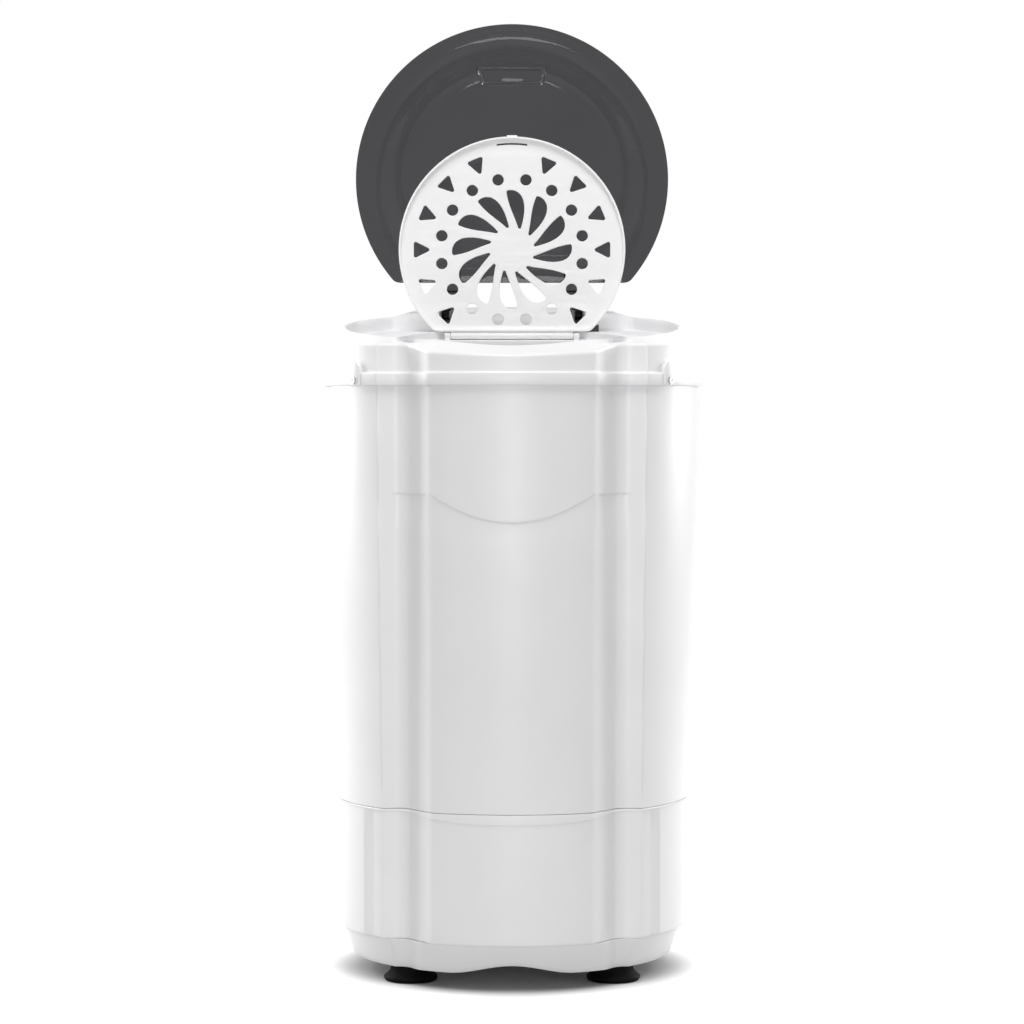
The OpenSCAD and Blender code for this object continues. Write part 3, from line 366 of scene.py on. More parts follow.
# Smoked acrylic lid: clear and polished, dark from the dye in it, so white shows through as grey.
# The IOR is a match to the picture, below acrylic's 1.49, where the dome showed as a strong ring.
smoke = {"dark": "#454547", "light": "#49494b", "ior": 1.22, "cloud": 7, "gloss": 12,
         "smoothest": 0.015, "roughest": 0.03}
smokedAcrylic, smokeTree, smokeSurface, smokePlace = newMaterial(
    "smokedAcrylic", **{"IOR": smoke["ior"], "Transmission Weight": 1.0})
twoTone(smokeTree, smokeSurface, mottle(smokeTree, smokePlace, smoke["cloud"], 0, 1),
        smoke["dark"], smoke["light"])
smokeTree.links.new(mottle(smokeTree, smokePlace, smoke["gloss"], smoke["smoothest"],
                           smoke["roughest"]), smokeSurface.inputs["Roughness"])

slotMaterials = {
    "white_shell": whitePolypropylene, "white_cover": coverPolypropylene,
    "smoked_lid": smokedAcrylic, "tub_plastic": tubPolypropylene, "black_rubber": mouldedRubber,
    "black_plastic": blackAbs, "basket_steel": brushedStainless,
    "ring_plastic": ringPolypropylene, "cast_aluminium": castAluminium, "winding": laminatedCore,
    "capacitor_can": capacitorPlastic, "brake_lining": brakeLining, "zinc_steel": zincSteel,
}
nodeSlots = {part["node"]: part["material_slot"] for part in frame["record"]["subparts"]}
for nodeName, node in frame["nodes"].items():
    node.data.materials.clear()
    node.data.materials.append(slotMaterials[nodeSlots[nodeName]])
print("stage: materials on the CAD nodes")


def dress(obj, body, slot, *nodes):  # a new piece's finish, body and the nodes it stands for
    obj.data.materials.clear()
    obj.data.materials.append(slotMaterials[slot])
    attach(obj, body)
    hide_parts(*nodes)
    return obj


# The camera: place in metres, tilt in degrees down, lens and sensor in millimetres
view = {"place": (0, -3.350, 0.568), "tilt": 1.78, "lens": 115.4, "sensor": 36.0}
cameraData = bpy.data.cameras.new("camera")
cameraData.lens, cameraData.sensor_width = view["lens"], view["sensor"]
camera = bpy.data.objects.new("camera", cameraData)
camera.location = view["place"]
camera.rotation_euler = (math.radians(90 - view["tilt"]), 0, 0)
bpy.context.scene.collection.objects.link(camera)
bpy.context.scene.camera = camera

cabinet = {"low": 175.3, "high": 604.0, "wall": 3.0, "chamfer": 0.5, "smileEnd": 486.0,
           "smileSag": 27.0, "smileHalf": 79.0, "drop": 1.15, "recover": 40.0, "stepHalf": 0.8,
           "breakAt": 82, "panelEnd": 81, "fluteFrom": 83.5, "fluteEnd": 121, "lineFade": 2.5,
           "endFade": 12, "followHold": 9, "followFade": 45,
           "ribHalf": 9.0, "ribProud": 0.9, "ribEdge": 0.8, "ribFade": 1.2, "ribLow": 191.0,
           "ribHigh": 583.0,
           "lowRows": [180, 189, 190.6, 191.2, 191.8, 192.6, 196], "plainTop": 434,
           "lineRows": [-52, -42, -33, -25, -18, -12, -7, -4, -2, -1, -0.5, 0, 0.5, 1, 2, 5, 12,
                        25, 40, 54],
           "highRows": [560, 579, 582, 582.6, 583.2, 585], "lapFrom": 590,
           "insideRows": [560, 400, 250]}


def smileHeight(x):
    share = min(abs(x) / cabinet["smileHalf"], 1)
    return cabinet["smileEnd"] - cabinet["smileSag"] * (1 - share * share)


def smileStrength(x):  # the line breaks off at the panel's edge and goes on in the flutes
    c, x = cabinet, abs(x)
    if x < c["breakAt"]:
        return ease((c["panelEnd"] - x) / c["lineFade"])
    return ease((x - c["fluteFrom"]) / c["lineFade"]) * ease((c["fluteEnd"] - x) / c["endFade"])


def smileRelief(x, d):  # a soft step at the line, d above it, that recovers further down
    c = cabinet
    if d > c["stepHalf"]:
        return 0.0
    fall = ease((c["stepHalf"] - d) / (2 * c["stepHalf"]))
    return c["drop"] * smileStrength(x) * fall * (1 - ease(-d / c["recover"]))


def sideRib(a, r, z, low, high):
    c = cabinet
    across = abs(r * math.cos(a))
    up = ease((z - low) / c["ribFade"]) * ease((high - z) / c["ribFade"])
    return c["ribProud"] * up * ease((c["ribHalf"] + c["ribEdge"] - across) / (2 * c["ribEdge"]))


def cabinetRow(level, inset=0.0, relief=True):
    c = cabinet

    def row(a):
        r = wallRadius("cabinet", a, level, inset)
        x, z = r * math.sin(a), level
        if relief:
            near = 1 - ease((abs(level - c["smileEnd"]) - c["followHold"]) / c["followFade"])
            z += (smileHeight(x) - c["smileEnd"]) * near
            r = wallRadius("cabinet", a, z, inset) - smileRelief(x, z - smileHeight(x))
            r += sideRib(a, r, z, c["ribLow"], c["ribHigh"])
        return polar(r, a, z)
    return row


def makeCabinet():
    c = cabinet
    first = c["lowRows"][-1]
    levels = [c["low"] + c["chamfer"]] + c["lowRows"]
    levels += [first + (c["plainTop"] - first) * i / 8 for i in range(1, 8)]
    levels += [c["smileEnd"] + d for d in c["lineRows"]] + c["highRows"]
    rows = [cabinetRow(c["low"], c["chamfer"], False)] + [cabinetRow(z) for z in levels]
    rows += [cabinetRow(c["lapFrom"], 0, False), cabinetRow(c["high"], 0, False)]
    rows += [cabinetRow(z, c["wall"], False) for z in (c["high"], *c["insideRows"], c["low"])]
    mesh = bmesh.new()
    skin(mesh, rows + rows[:1])
    return dress(meshObject("cabinetShell", mesh), "cabinet", "white_shell", "cabinet_shell")


makeCabinet()
print("stage: cabinet")

base = {"seam": 174.9, "lap": 185.0, "lapInset": 3.4, "floor": 31.0, "under": 28.0, "step": 46.0,
        "inside": 6.4, "cornerRise": 16, "chamfer": 0.5, "chamferEnd": 1.4,
        "skirtLow": 17.0, "skirtWall": 3.0, "skirtShares": (0, 0.2, 0.5, 0.8, 0.97),
        "archRise": 9.0, "archHalf": 64.0,
        "stripTop": 167.0, "stripDepth": 2.0, "stripTurn": 0.2, "stripReach": 0.2,
        "bandTop": 173.0, "bandLow": 165.0, "bandProud": 0.8, "bandFrom": 0.1, "bandSpan": 0.7,
        "ribLow": 68, "ribHigh": 171, "rows": [150, 120, 90, 70, 69.2, 68.6, 68, 60],
        "aboveStep": 3.2, "stepSoft": 2.5, "stepTurns": 5,
        "postAzimuths": (0, 120, 240), "postAt": 110, "postR": 13, "postTop": 112.0,
        "bossX": 101, "bossY": 92, "bossLow": 20, "bossR": 20.5, "bossSoft": 0.8}


def baseRadius(a, z, inset=0.0):
    b, wide = base, walls["base"]["r"]
    r = wallRadius("base", a, z, inset)
    folded = math.degrees(math.atan2(abs(math.sin(a)), abs(math.cos(a))))
    off = math.radians(folded - stripAzimuth)
    onStrip = abs(off) < b["stripReach"] and abs(wide * math.sin(off)) < stripHalf
    if not inset and onStrip and z < b["stripTop"]:
        r = min(r, (wide - b["stripDepth"]) / (math.cos(off) - b["stripTurn"] * math.sin(off)))
    return r


def bandEdge(a):  # the proud band's lower edge climbs from the middle to the strips
    climb = ease((abs(math.sin(a)) - base["bandFrom"]) / base["bandSpan"])
    return base["bandLow"] + (base["bandTop"] - base["bandLow"]) * climb


def baseRow(z, inset=0.0, proud=0.0, follow=None):
    def row(a):
        level = z if follow is None else bandEdge(a) + follow
        r = baseRadius(a, level, inset) + proud
        r += sideRib(a, walls["base"]["r"], level, base["ribLow"], base["ribHigh"])
        return polar(r, a, level)
    return row


def archHeight(x):
    if abs(x) > base["archHalf"]:
        return base["skirtLow"]
    wave = 0.5 + 0.5 * math.cos(math.pi * x / base["archHalf"])
    return base["skirtLow"] + base["archRise"] * wave


def skirtRow(share, inset=0.0, lift=0.0):  # share 0 is the step, 1 the lower edge
    def row(a):
        low = archHeight(wallRadius("skirt", a, base["skirtLow"]) * math.sin(a)) + lift
        z = base["step"] + (low - base["step"]) * share
        return polar(wallRadius("skirt", a, z, inset), a, z)
    return row


def flatRow(kind, z, inset, share=1.0):
    return lambda a: polar(wallRadius(kind, a, z, inset) * share, a, z)


def makeBase():
    b = base
    rows = [flatRow("base", b["floor"], b["inside"], share) for share in (0, 0.5)]
    rows += [flatRow("base", z, b["inside"]) for z in (b["floor"] + b["cornerRise"], b["lap"])]
    rows += [flatRow("base", z, b["lapInset"]) for z in (b["lap"], b["seam"])]
    rows += [baseRow(b["seam"], b["chamfer"]), baseRow(b["seam"] - b["chamfer"]),
             baseRow(b["seam"] - b["chamferEnd"])]
    rows += [baseRow(0, 0, b["bandProud"], 1.0), baseRow(0, 0, b["bandProud"] - 0.1, 0.3),
             baseRow(0, 0, 0, 0)]
    rows += [baseRow(z) for z in (b["bandLow"] - 0.6, *b["rows"], b["step"] + b["aboveStep"])]
    for i in range(1, b["stepTurns"] + 1):  # the edge above the step is rounded
        turn = math.radians(90 * i / b["stepTurns"])
        rows.append(baseRow(b["step"] + b["stepSoft"] * (1 - math.sin(turn)),
                            0.0, -b["stepSoft"] * (1 - math.cos(turn))))
    rows += [skirtRow(share) for share in b["skirtShares"]] + [skirtRow(1, b["chamfer"])]
    rows += [skirtRow(1, b["skirtWall"] - 0.4), skirtRow(1, b["skirtWall"], 0.5)]
    rows += [flatRow("skirt", b["under"], b["skirtWall"], share) for share in (1, 0.5, 0)]
    mesh = bmesh.new()
    skin(mesh, rows)
    for azimuth in b["postAzimuths"]:  # posts for the rubber mounts
        p = polar(b["postAt"], math.radians(azimuth), 0)
        addRod(mesh, p + Vector((0, 0, b["floor"] - 1)), p + Vector((0, 0, b["postTop"])),
               b["postR"])
    for x in (-b["bossX"], b["bossX"]):  # bosses over the feet
        for y in (-b["bossY"], b["bossY"]):
            addRod(mesh, (x, y, b["bossLow"]), (x, y, b["under"] + 1), b["bossR"], b["bossSoft"])
    return dress(meshObject("baseShell", mesh), "cabinet", "white_shell", "base_shell")


makeBase()
print("stage: base")

panel = {"collarLow": 592.0, "collarTop": 604.5, "collarOut": -4.0, "fit": -0.6, "wallOut": -1.5,
         "collarFoot": [(0, -3.2), (0.3, -3.75)],
         "collarEdge": [(-0.5, -3.7), (0, -3.0), (0.3, -2.2), (0.9, -1.7)],
         "rimSoft": 4.5, "edgeSoft": 1.8, "rimTurns": 8, "edgeTurns": 4,
         "landShares": (0.94, 0.85, 0.75, 0.65, 0.55, 0.45, 0.35, 0.25, 0.15, 0.06),
         "fall": 5.5, "frontDip": 6.2, "dipFade": 0.028, "dipEnd": 104, "innerDip": 4.3,
         "innerHalf": 95, "innerDrop": 1.4, "dropReach": 60, "fade": 26,
         "hump": 5.0, "humpHalf": 130, "humpFrom": 104, "humpRun": 8.5, "level": 640,
         "under": 17.0, "underDrop": 5, "underFrom": 100, "underRun": 6, "deckStart": -2.0,
         "mouthLow": -30.5, "mouthEnd": -31.4, "ledge": -25,
         "flangeTop": 607.0, "flangeInset": 1.5,
         "tabOut": 195.1, "tabTop": 608.0, "tabHalf": 8.0, "tabDepth": 7.4, "tabSoft": 0.9,
         "tabSides": 32, "tabLift": 0.2}
armSlot = {"x": 65, "half": 12, "front": 107, "rear": 162, "low": -17, "high": 43}
plungerHole = {"x": 84, "y": 100.5, "halfX": 7.3, "halfY": 3.8, "low": -26, "high": -6}
lug = {"near": 64.5, "far": 70.5, "y": 90.8, "z": -18, "r": 3.5, "soft": 0.4, "front": 87.3,
       "rear": 94.3, "foot": -23}
lip = {"inR": 145.5, "outR": 148, "low": 598, "under": 16}


def toSlant(p):
    return slantMatrix.inverted() @ p


def deeRadius(a, r, flat, soft=4.0):
    behind = -math.cos(a)
    return r if behind < 0.05 else softMin(r, flat / behind, soft)


def crownHeight(x, y, share):  # share 0 at the opening, 1 at the wall
    p, x = panel, abs(x)
    height = -p["fall"] * share
    if y < 0:
        wave = math.cos(math.pi * x / (2 * p["innerHalf"])) ** 2
        inner = p["innerDip"] * wave if x < p["innerHalf"] else 0
        inner += p["innerDrop"] * ease(-y / p["dropReach"])
        outer = (p["frontDip"] - p["dipFade"] * x) * ease((p["dipEnd"] - x) / p["fade"])
        height -= inner * (1 - share) + outer * share
    rise = ease((p["humpHalf"] - x) / p["fade"]) * ease((y - p["humpFrom"]) / p["humpRun"])
    return height + (p["hump"] - height) * rise


def crownPoint(a, inset, sink=0.0):  # on the crown above the wall, drawn in by inset
    r = wallRadius("upper", a, panel["level"], panel["wallOut"] + inset)
    p = polar(r, a, top["z"])
    for _ in range(3):  # its height settles in three rounds
        s = toSlant(p)
        p = polar(r, a, (slantMatrix @ Vector((s.x, s.y, crownHeight(s.x, s.y, 1)))).z)
    return p - Vector((0, 0, sink))


def crownRow(inset, sink=0.0):
    return lambda a: crownPoint(a, inset, sink)


def openingPoint(a, grow=0.0):
    return polar(deeRadius(a, top["openR"] + grow, top["openFlat"] + grow), a, 0)


def landRow(share):
    def row(a):
        outer = toSlant(crownPoint(a, panel["rimSoft"]))
        p = openingPoint(a, panel["edgeSoft"]).lerp(Vector((outer.x, outer.y, 0)), share)
        p.z = crownHeight(p.x, p.y, share)
        return slantMatrix @ p
    return row


def edgeRow(turn):  # rounds the opening's upper edge
    def row(a):
        soft = panel["edgeSoft"]
        p = openingPoint(a, soft * (1 - math.sin(turn)))
        p.z = crownHeight(p.x, p.y, 0) - soft * (1 - math.cos(turn))
        return slantMatrix @ p
    return row


def deeRow(kind, grow, z):  # round one of the top's dees: open, rebate or mouth
    r, flat = top[kind + "R"] + grow, top[kind + "Flat"] + grow
    return lambda a: slantMatrix @ polar(deeRadius(a, r, flat), a, z)


def deckRow(r, flat, z, share):  # between the opening's wall and a dee
    def row(a):
        start = openingPoint(a, panel["deckStart"])
        p = start.lerp(polar(deeRadius(a, r, flat), a, 0), share)
        p.z = z
        return slantMatrix @ p
    return row


def underRow(inset):
    def row(a):
        s = toSlant(crownPoint(a, inset))
        dropped = ease((s.y - panel["underFrom"]) / panel["underRun"])
        drop = panel["under"] + panel["underDrop"] * dropped
        return polar(wallRadius("upper", a, panel["level"], panel["wallOut"] + inset), a,
                     (slantMatrix @ Vector((s.x, s.y, -drop))).z)
    return row


def panelRows():  # from the collar's foot up, over the rim and down to the underside
    p, t = panel, top

    def upper(z, inset):
        return flatRow("upper", z, inset)

    rows = [upper(p["collarLow"], p["fit"])]
    rows += [upper(p["collarLow"] + up, inset) for up, inset in p["collarFoot"]]
    rows += [upper(p["collarLow"] + 1, p["collarOut"]), upper(p["collarTop"] - 1.4, p["collarOut"])]
    rows += [upper(p["collarTop"] + up, inset) for up, inset in p["collarEdge"]]
    rows += [upper(p["collarTop"] + 2, p["wallOut"]), crownRow(0, p["rimSoft"] + 1)]
    for i in range(1, p["rimTurns"] + 1):  # the rim's outer edge is rounded
        turn = math.radians(90 - 90 * i / p["rimTurns"])
        rows.append(crownRow(p["rimSoft"] * (1 - math.sin(turn)),
                             p["rimSoft"] * (1 - math.cos(turn))))
    rows += [landRow(share) for share in p["landShares"]]
    rows += [edgeRow(math.radians(90 * i / p["edgeTurns"])) for i in range(p["edgeTurns"] + 1)]
    rows += [deeRow("open", 0, -8), deeRow("open", 0, t["deck"] + 2),
             deeRow("open", -0.6, t["deck"] + 0.6),
             deckRow(t["rebateR"], t["rebateFlat"], t["deck"], 0)]
    rows += [deckRow(t["rebateR"] + 1, t["rebateFlat"] + 1, t["deck"], share)
             for share in (0.35, 0.7, 1)]
    rows += [deeRow("rebate", grow, z) for grow, z in (
        (0.3, t["deck"] - 0.3), (0, t["deck"] - 1), (0, t["rebate"] + 1), (-1, t["rebate"]))]
    rows += [deeRow("mouth", grow, z) for grow, z in (
        (1.5, t["rebate"]), (0.4, t["rebate"] - 0.4), (0, t["rebate"] - 1.5),
        (0, p["mouthLow"]), (1.5, p["mouthEnd"]), (3, p["mouthLow"]), (3, p["ledge"]))]
    rows += [deeRow("rebate", 3, p["ledge"]), deeRow("rebate", 3, -p["under"])]
    rows += [underRow(20), underRow(3)]
    return rows + [upper(p["flangeTop"], p["flangeInset"]), upper(p["flangeTop"], p["fit"])]


def lipRows():  # the lip that hangs inside the tub
    slope = math.tan(math.radians(top["slant"]))

    def low(r):
        return lambda a: polar(r, a, lip["low"])

    def high(r):
        return lambda a: polar(r, a, top["z"] - r * math.cos(a) * slope - lip["under"])
    return [low(lip["inR"]), low(lip["outR"]), high(lip["outR"]), high(lip["inR"]),
            low(lip["inR"])]


def addTab(mesh, azimuth):
    half, foot, depth = panel["tabHalf"], panel["collarLow"], panel["tabDepth"]
    ring = bmesh.ops.create_circle(mesh, segments=panel["tabSides"], radius=half)["verts"]
    for v in ring:  # the lower half is drawn down to the collar's edge
        if v.co.y < -0.01:
            v.co.y = -(panel["tabTop"] - foot - panel["tabLift"])
            v.co.x = math.copysign(half, v.co.x) if abs(v.co.x) > 0.01 else 0
    bmesh.ops.remove_doubles(mesh, verts=ring, dist=0.01)
    ring = [v for v in ring if v.is_valid]
    face = bmesh.ops.contextual_create(mesh, geom=ring)["faces"]
    grown = bmesh.ops.extrude_face_region(mesh, geom=face)["geom"]
    front = [g for g in grown if isinstance(g, bmesh.types.BMFace)]
    fresh = [g for g in grown if isinstance(g, bmesh.types.BMVert)]
    bmesh.ops.translate(mesh, vec=(0, 0, depth), verts=fresh)
    edges = list({e for f in front for e in f.edges})
    made = softened(mesh, ring + fresh, edges, panel["tabSoft"], 3)
    stand = Matrix(((1, 0, 0, 0), (0, 0, -1, -(panel["tabOut"] - depth)),
                    (0, 1, 0, panel["tabTop"]), (0, 0, 0, 1)))
    bmesh.ops.transform(mesh, matrix=Matrix.Rotation(azimuth, 4, "Z") @ stand, verts=made)


def makePanel():
    rows = panelRows()
    mesh = bmesh.new()
    skin(mesh, rows + rows[:1])
    obj = meshObject("topPanel", mesh)

    s, h = armSlot, plungerHole
    cutter = bmesh.new()  # the slots of the lid's arms and the hole of the switch plunger
    for side in (-1, 1):
        addBlock(cutter, (s["x"] * side - s["half"], s["front"], s["low"]),
                 (s["x"] * side + s["half"], s["rear"], s["high"]), matrix=slantMatrix)
    addBlock(cutter, (h["x"] - h["halfX"], h["y"] - h["halfY"], h["low"]),
             (h["x"] + h["halfX"], h["y"] + h["halfY"], h["high"]), matrix=slantMatrix)
    carve(obj, meshObject("slotCutter", cutter))

    extra = bmesh.new()
    for azimuth in (stripAzimuth, 180 - stripAzimuth, 180 + stripAzimuth, 360 - stripAzimuth):
        addTab(extra, math.radians(azimuth))
    for side in (-1, 1):  # lugs that carry the cover's hinge
        near, far = lug["near"] * side, lug["far"] * side
        made = addRod(extra, (near, lug["y"], lug["z"]), (far, lug["y"], lug["z"]), lug["r"],
                      lug["soft"])
        bmesh.ops.transform(extra, matrix=slantMatrix, verts=made)
        low, high = sorted((near, far))
        addBlock(extra, (low, lug["front"], lug["foot"]), (high, lug["rear"], lug["z"]),
                 matrix=slantMatrix)
    skin(extra, lipRows())
    joinForms(obj, extra)
    return dress(obj, "cabinet", "white_shell", "top_panel", "loading_deck_left",
                 "loading_deck_right")


makePanel()
print("stage: top panel")

# The smoked lid is drawn closed and swung open. Its rows are radius, flat and height.
lid = {"hingeY": 152.0, "hingeZ": -8.0, "soft": 5.0, "middle": 13.0, "middleUnder": 10.5,
       "crown": [(20, 20, 12.95), (60, 50, 12.6), (100, 75, 12.1), (112, 77.5, 11.9)],
       "dome": {"steps": 10, "rStep": 4, "flatStep": 2.1, "rise": 22.6, "stretch": 9.5},
       "domeFoot": (155, 99.4, -11), "domeFootUnder": (152.6, 97.4, -13.4),
       "edge": [(157, 101.4, -11.2), (165.6, 110.1, -11.2), (166.3, 110.8, -11.6),
                (166.5, 111, -12.3), (166.3, 110.8, -13.3), (165.6, 110.1, -13.5),
                (154.5, 99, -13.5)],
       "under": [(110, 76, 9.4), (98, 73, 9.6), (60, 48, 10.1), (20, 20, 10.45)]}
grip = {"y": -114.0, "half": 36.5, "tall": 7.5, "taper": 4.5, "skin": 2.5, "lean": 3.0,
        "bumpLow": -0.5, "bumpHigh": 11.0, "bumpSoft": 1.6, "pocketLow": 2.0, "pocketHigh": 16.0,
        "pocketSoft": 1.2}
arm = {"x": 65.0, "half": 10.0, "front": 96, "rear": 150, "low": -13.4, "high": -10.6,
       "soft": 0.7, "wallIn": 1.1, "wallHalf": 1.05, "wallLow": -12.5, "wallHigh": -4.6,
       "wallSoft": 0.5, "ribs": (108, 120, 132, 143), "ribHalf": 9, "ribThick": 0.9,
       "ribLow": -12, "ribHigh": -5.5, "ribSoft": 0.4, "barrelR": 5.4, "barrelSoft": 0.5}


def domeRows(r, flat, z):  # the dome's side, from its foot up
    d = lid["dome"]
    return [(r - d["rStep"] * i, flat - d["flatStep"] * i, z + d["rise"] * ease(i / d["stretch"]))
            for i in range(d["steps"])]


def lidRow(r, flat, z):
    return lambda a: polar(deeRadius(a, r, flat, lid["soft"]), a, z)


def frustum(mesh, half, tall, zLow, zHigh, soft):  # the grip's form, narrower below and behind
    y, lean = grip["y"], grip["lean"]
    made = addBlock(mesh, (-half, y - tall, zLow), (half, y + tall, zHigh))
    for v in made:
        if v.co.y > y:
            v.co.x *= (half - grip["taper"]) / half
        if v.co.z < (zLow + zHigh) / 2:
            v.co.x *= (half - lean) / half
            v.co.y += -lean * 0.5 * math.copysign(1, v.co.y - y)
    softened(mesh, made, list({e for v in made for e in v.link_edges}), soft, 3)


def addArm(mesh, side):
    m = arm
    x = m["x"] * side
    addBlock(mesh, (x - m["half"], m["front"], m["low"]), (x + m["half"], m["rear"], m["high"]),
             m["soft"])
    for edge in (-1, 1):  # side walls
        e = x + edge * (m["half"] - m["wallIn"])
        addBlock(mesh, (e - m["wallHalf"], m["front"], m["wallLow"]),
                 (e + m["wallHalf"], m["rear"], m["wallHigh"]), m["wallSoft"])
    for y in m["ribs"]:  # cross ribs
        addBlock(mesh, (x - m["ribHalf"], y - m["ribThick"], m["ribLow"]),
                 (x + m["ribHalf"], y + m["ribThick"], m["ribHigh"]), m["ribSoft"])
    addRod(mesh, (x - m["half"], lid["hingeY"], lid["hingeZ"]),
           (x + m["half"], lid["hingeY"], lid["hingeZ"]), m["barrelR"], m["barrelSoft"])


def makeLid():
    g, thick = grip, grip["skin"]

    def point(z):
        return lambda a: Vector((0, 0, z))

    profile = lid["crown"] + domeRows(*lid["domeFoot"])[::-1] + lid["edge"]
    profile += domeRows(*lid["domeFootUnder"]) + lid["under"]
    rows = [point(lid["middle"])] + [lidRow(*row) for row in profile] + [point(lid["middleUnder"])]
    mesh = bmesh.new()
    skin(mesh, rows)
    obj = meshObject("smokedLid", mesh)
    bump = bmesh.new()
    frustum(bump, g["half"] + thick, g["tall"] + thick, g["bumpLow"], g["bumpHigh"], g["bumpSoft"])
    carve(obj, meshObject("gripBump", bump), "UNION")
    pocket = bmesh.new()
    frustum(pocket, g["half"], g["tall"], g["pocketLow"], g["pocketHigh"], g["pocketSoft"])
    carve(obj, meshObject("gripPocket", pocket))
    extra = bmesh.new()
    for side in (-1, 1):
        addArm(extra, side)
    swing = openedMatrix(lid["hingeY"], lid["hingeZ"])
    joinForms(obj, extra, Matrix.Scale(metres, 4) @ swing @ Matrix.Scale(1 / metres, 4))
    return dress(obj, "lid_body", "smoked_lid", "lid")


makeLid()
print("stage: lid")

cover = {"r": 118.7, "flat": 86.5, "top": -14.5, "plate": 2.5, "skirt": 7.0, "cornerSoft": 3.0,
         "plateIn": 1.2, "sharp": 40, "hingeY": 90.8, "hingeZ": -18.0, "barrelR": 3.5,
         "barrelHalf": 64.0, "barrelSoft": 0.4, "petals": 12, "petalStart": 23, "petalIn": 23.4,
         "petalOut": 62.8, "petalSweep": 28.5, "roundR": 75.0, "hole": 6.0, "triOut": 103.0,
         "triLong": 18.8, "triHalf": 9.5, "triSoft": 2, "triSteps": 6,
         "places": 16, "slitR": 112.6, "slitHalf": 16.0,
         "slitWide": 2.0, "slitSteps": 16, "hingeStrip": 4, "noHole": 7, "latchHalf": 5.5,
         "latchOut": 1.6, "latchIn": 2.3, "latchDeep": 5, "latchSoft": 0.6}
petalCurves = [
    (((0.02, 0.025), (0.374, 0.132), (0.872, 0.279), (0.977, 0.679)), 12),
    (((0.977, 0.679), (1.009, 0.801), (1.026, 1.005), (0.953, 0.997)), 8),
    (((0.953, 0.997), (0.608, 0.982), (0.291, 0.814), (0.034, 0.294)), 12),
    (((0.034, 0.294), (-0.006, 0.253), (-0.01, 0.079), (0.02, 0.025)), 6),
]


def petalLoop(turn):
    points = []
    for (a, b, c, d), steps in petalCurves:
        for i in range(steps):
            t = i / steps
            u = 1 - t
            along, swing = (u ** 3 * a[k] + 3 * u * u * t * b[k] + 3 * u * t * t * c[k]
                            + t ** 3 * d[k] for k in (0, 1))
            r = cover["petalIn"] + along * (cover["petalOut"] - cover["petalIn"])
            angle = turn - math.radians(swing * cover["petalSweep"])
            points.append((r * math.cos(angle), r * math.sin(angle)))
    return points


def circleLoop(x, y, r, steps=32):
    return [(x + r * math.cos(2 * math.pi * i / steps), y + r * math.sin(2 * math.pi * i / steps))
            for i in range(steps)]


def triangleLoop(turn):
    a = Vector((cover["triOut"] - cover["triLong"], 0))
    b, c = (Vector((cover["triOut"], side * cover["triHalf"])) for side in (1, -1))
    spin = Matrix.Rotation(turn, 2)
    return [tuple(spin @ p) for corner in ((c, a, b), (a, b, c), (b, c, a))
            for p in cornerArc(*corner, cover["triSoft"], cover["triSteps"])]


def deeLoop(r, flat, steps=240):
    return [tuple(polar(deeRadius(a, r, flat, cover["cornerSoft"]), a, 0).xy) for a in
            (2 * math.pi * i / steps for i in range(steps))]


def clipped(loop):  # a hole ends short of the hinge strip
    limit = cover["flat"] - cover["hingeStrip"]
    return [(x, min(y, limit)) for x, y in loop]


def coverHoles():
    c = cover
    loops = [petalLoop(math.radians(360 / c["petals"] * i + c["petalStart"]))
             for i in range(c["petals"])]
    step = 2 * math.pi / c["places"]
    for i in range(c["places"]):
        a = step * (i + 0.5)
        loops.append(circleLoop(c["roundR"] * math.cos(a), c["roundR"] * math.sin(a), c["hole"]))
    for i in range(1, c["places"]):
        if i != c["places"] // 2:
            loops.append(triangleLoop(step * i + math.pi / 2))
    steps = c["slitSteps"]
    reach = [c["slitHalf"] * (2 * i / steps - 1) for i in range(steps + 1)]
    arc = [-math.sqrt(c["slitR"] ** 2 - x * x) for x in reach]
    loops.append(list(zip(reach, arc))
                 + [(x, c["slitWide"] + y) for x, y in reversed(list(zip(reach, arc)))])
    return [clipped(loop) for loop in loops if min(y for _, y in loop) <= c["flat"] - c["noHole"]]


def coverPlate():
    c = cover
    shape = bpy.data.curves.new("coverPlate", "CURVE")
    shape.dimensions, shape.fill_mode = "2D", "BOTH"
    for loop in [deeLoop(c["r"] - c["plateIn"], c["flat"] - c["plateIn"])] + coverHoles():
        line = shape.splines.new("POLY")
        line.points.add(len(loop) - 1)
        for point, (x, y) in zip(line.points, loop):
            point.co = (x, y, 0, 1)
        line.use_cyclic_u = True
    # Extruded 0.75 both ways with 0.5 of round edge, which makes the plate's 2.5
    shape.extrude, shape.bevel_depth, shape.bevel_resolution, shape.offset = 0.75, 0.5, 3, -0.5
    plate = bpy.data.objects.new("coverPlate", shape)
    bpy.context.scene.collection.objects.link(plate)
    ready = plate.evaluated_get(bpy.context.evaluated_depsgraph_get())
    data = bpy.data.meshes.new_from_object(ready)
    bpy.data.objects.remove(plate)
    return data


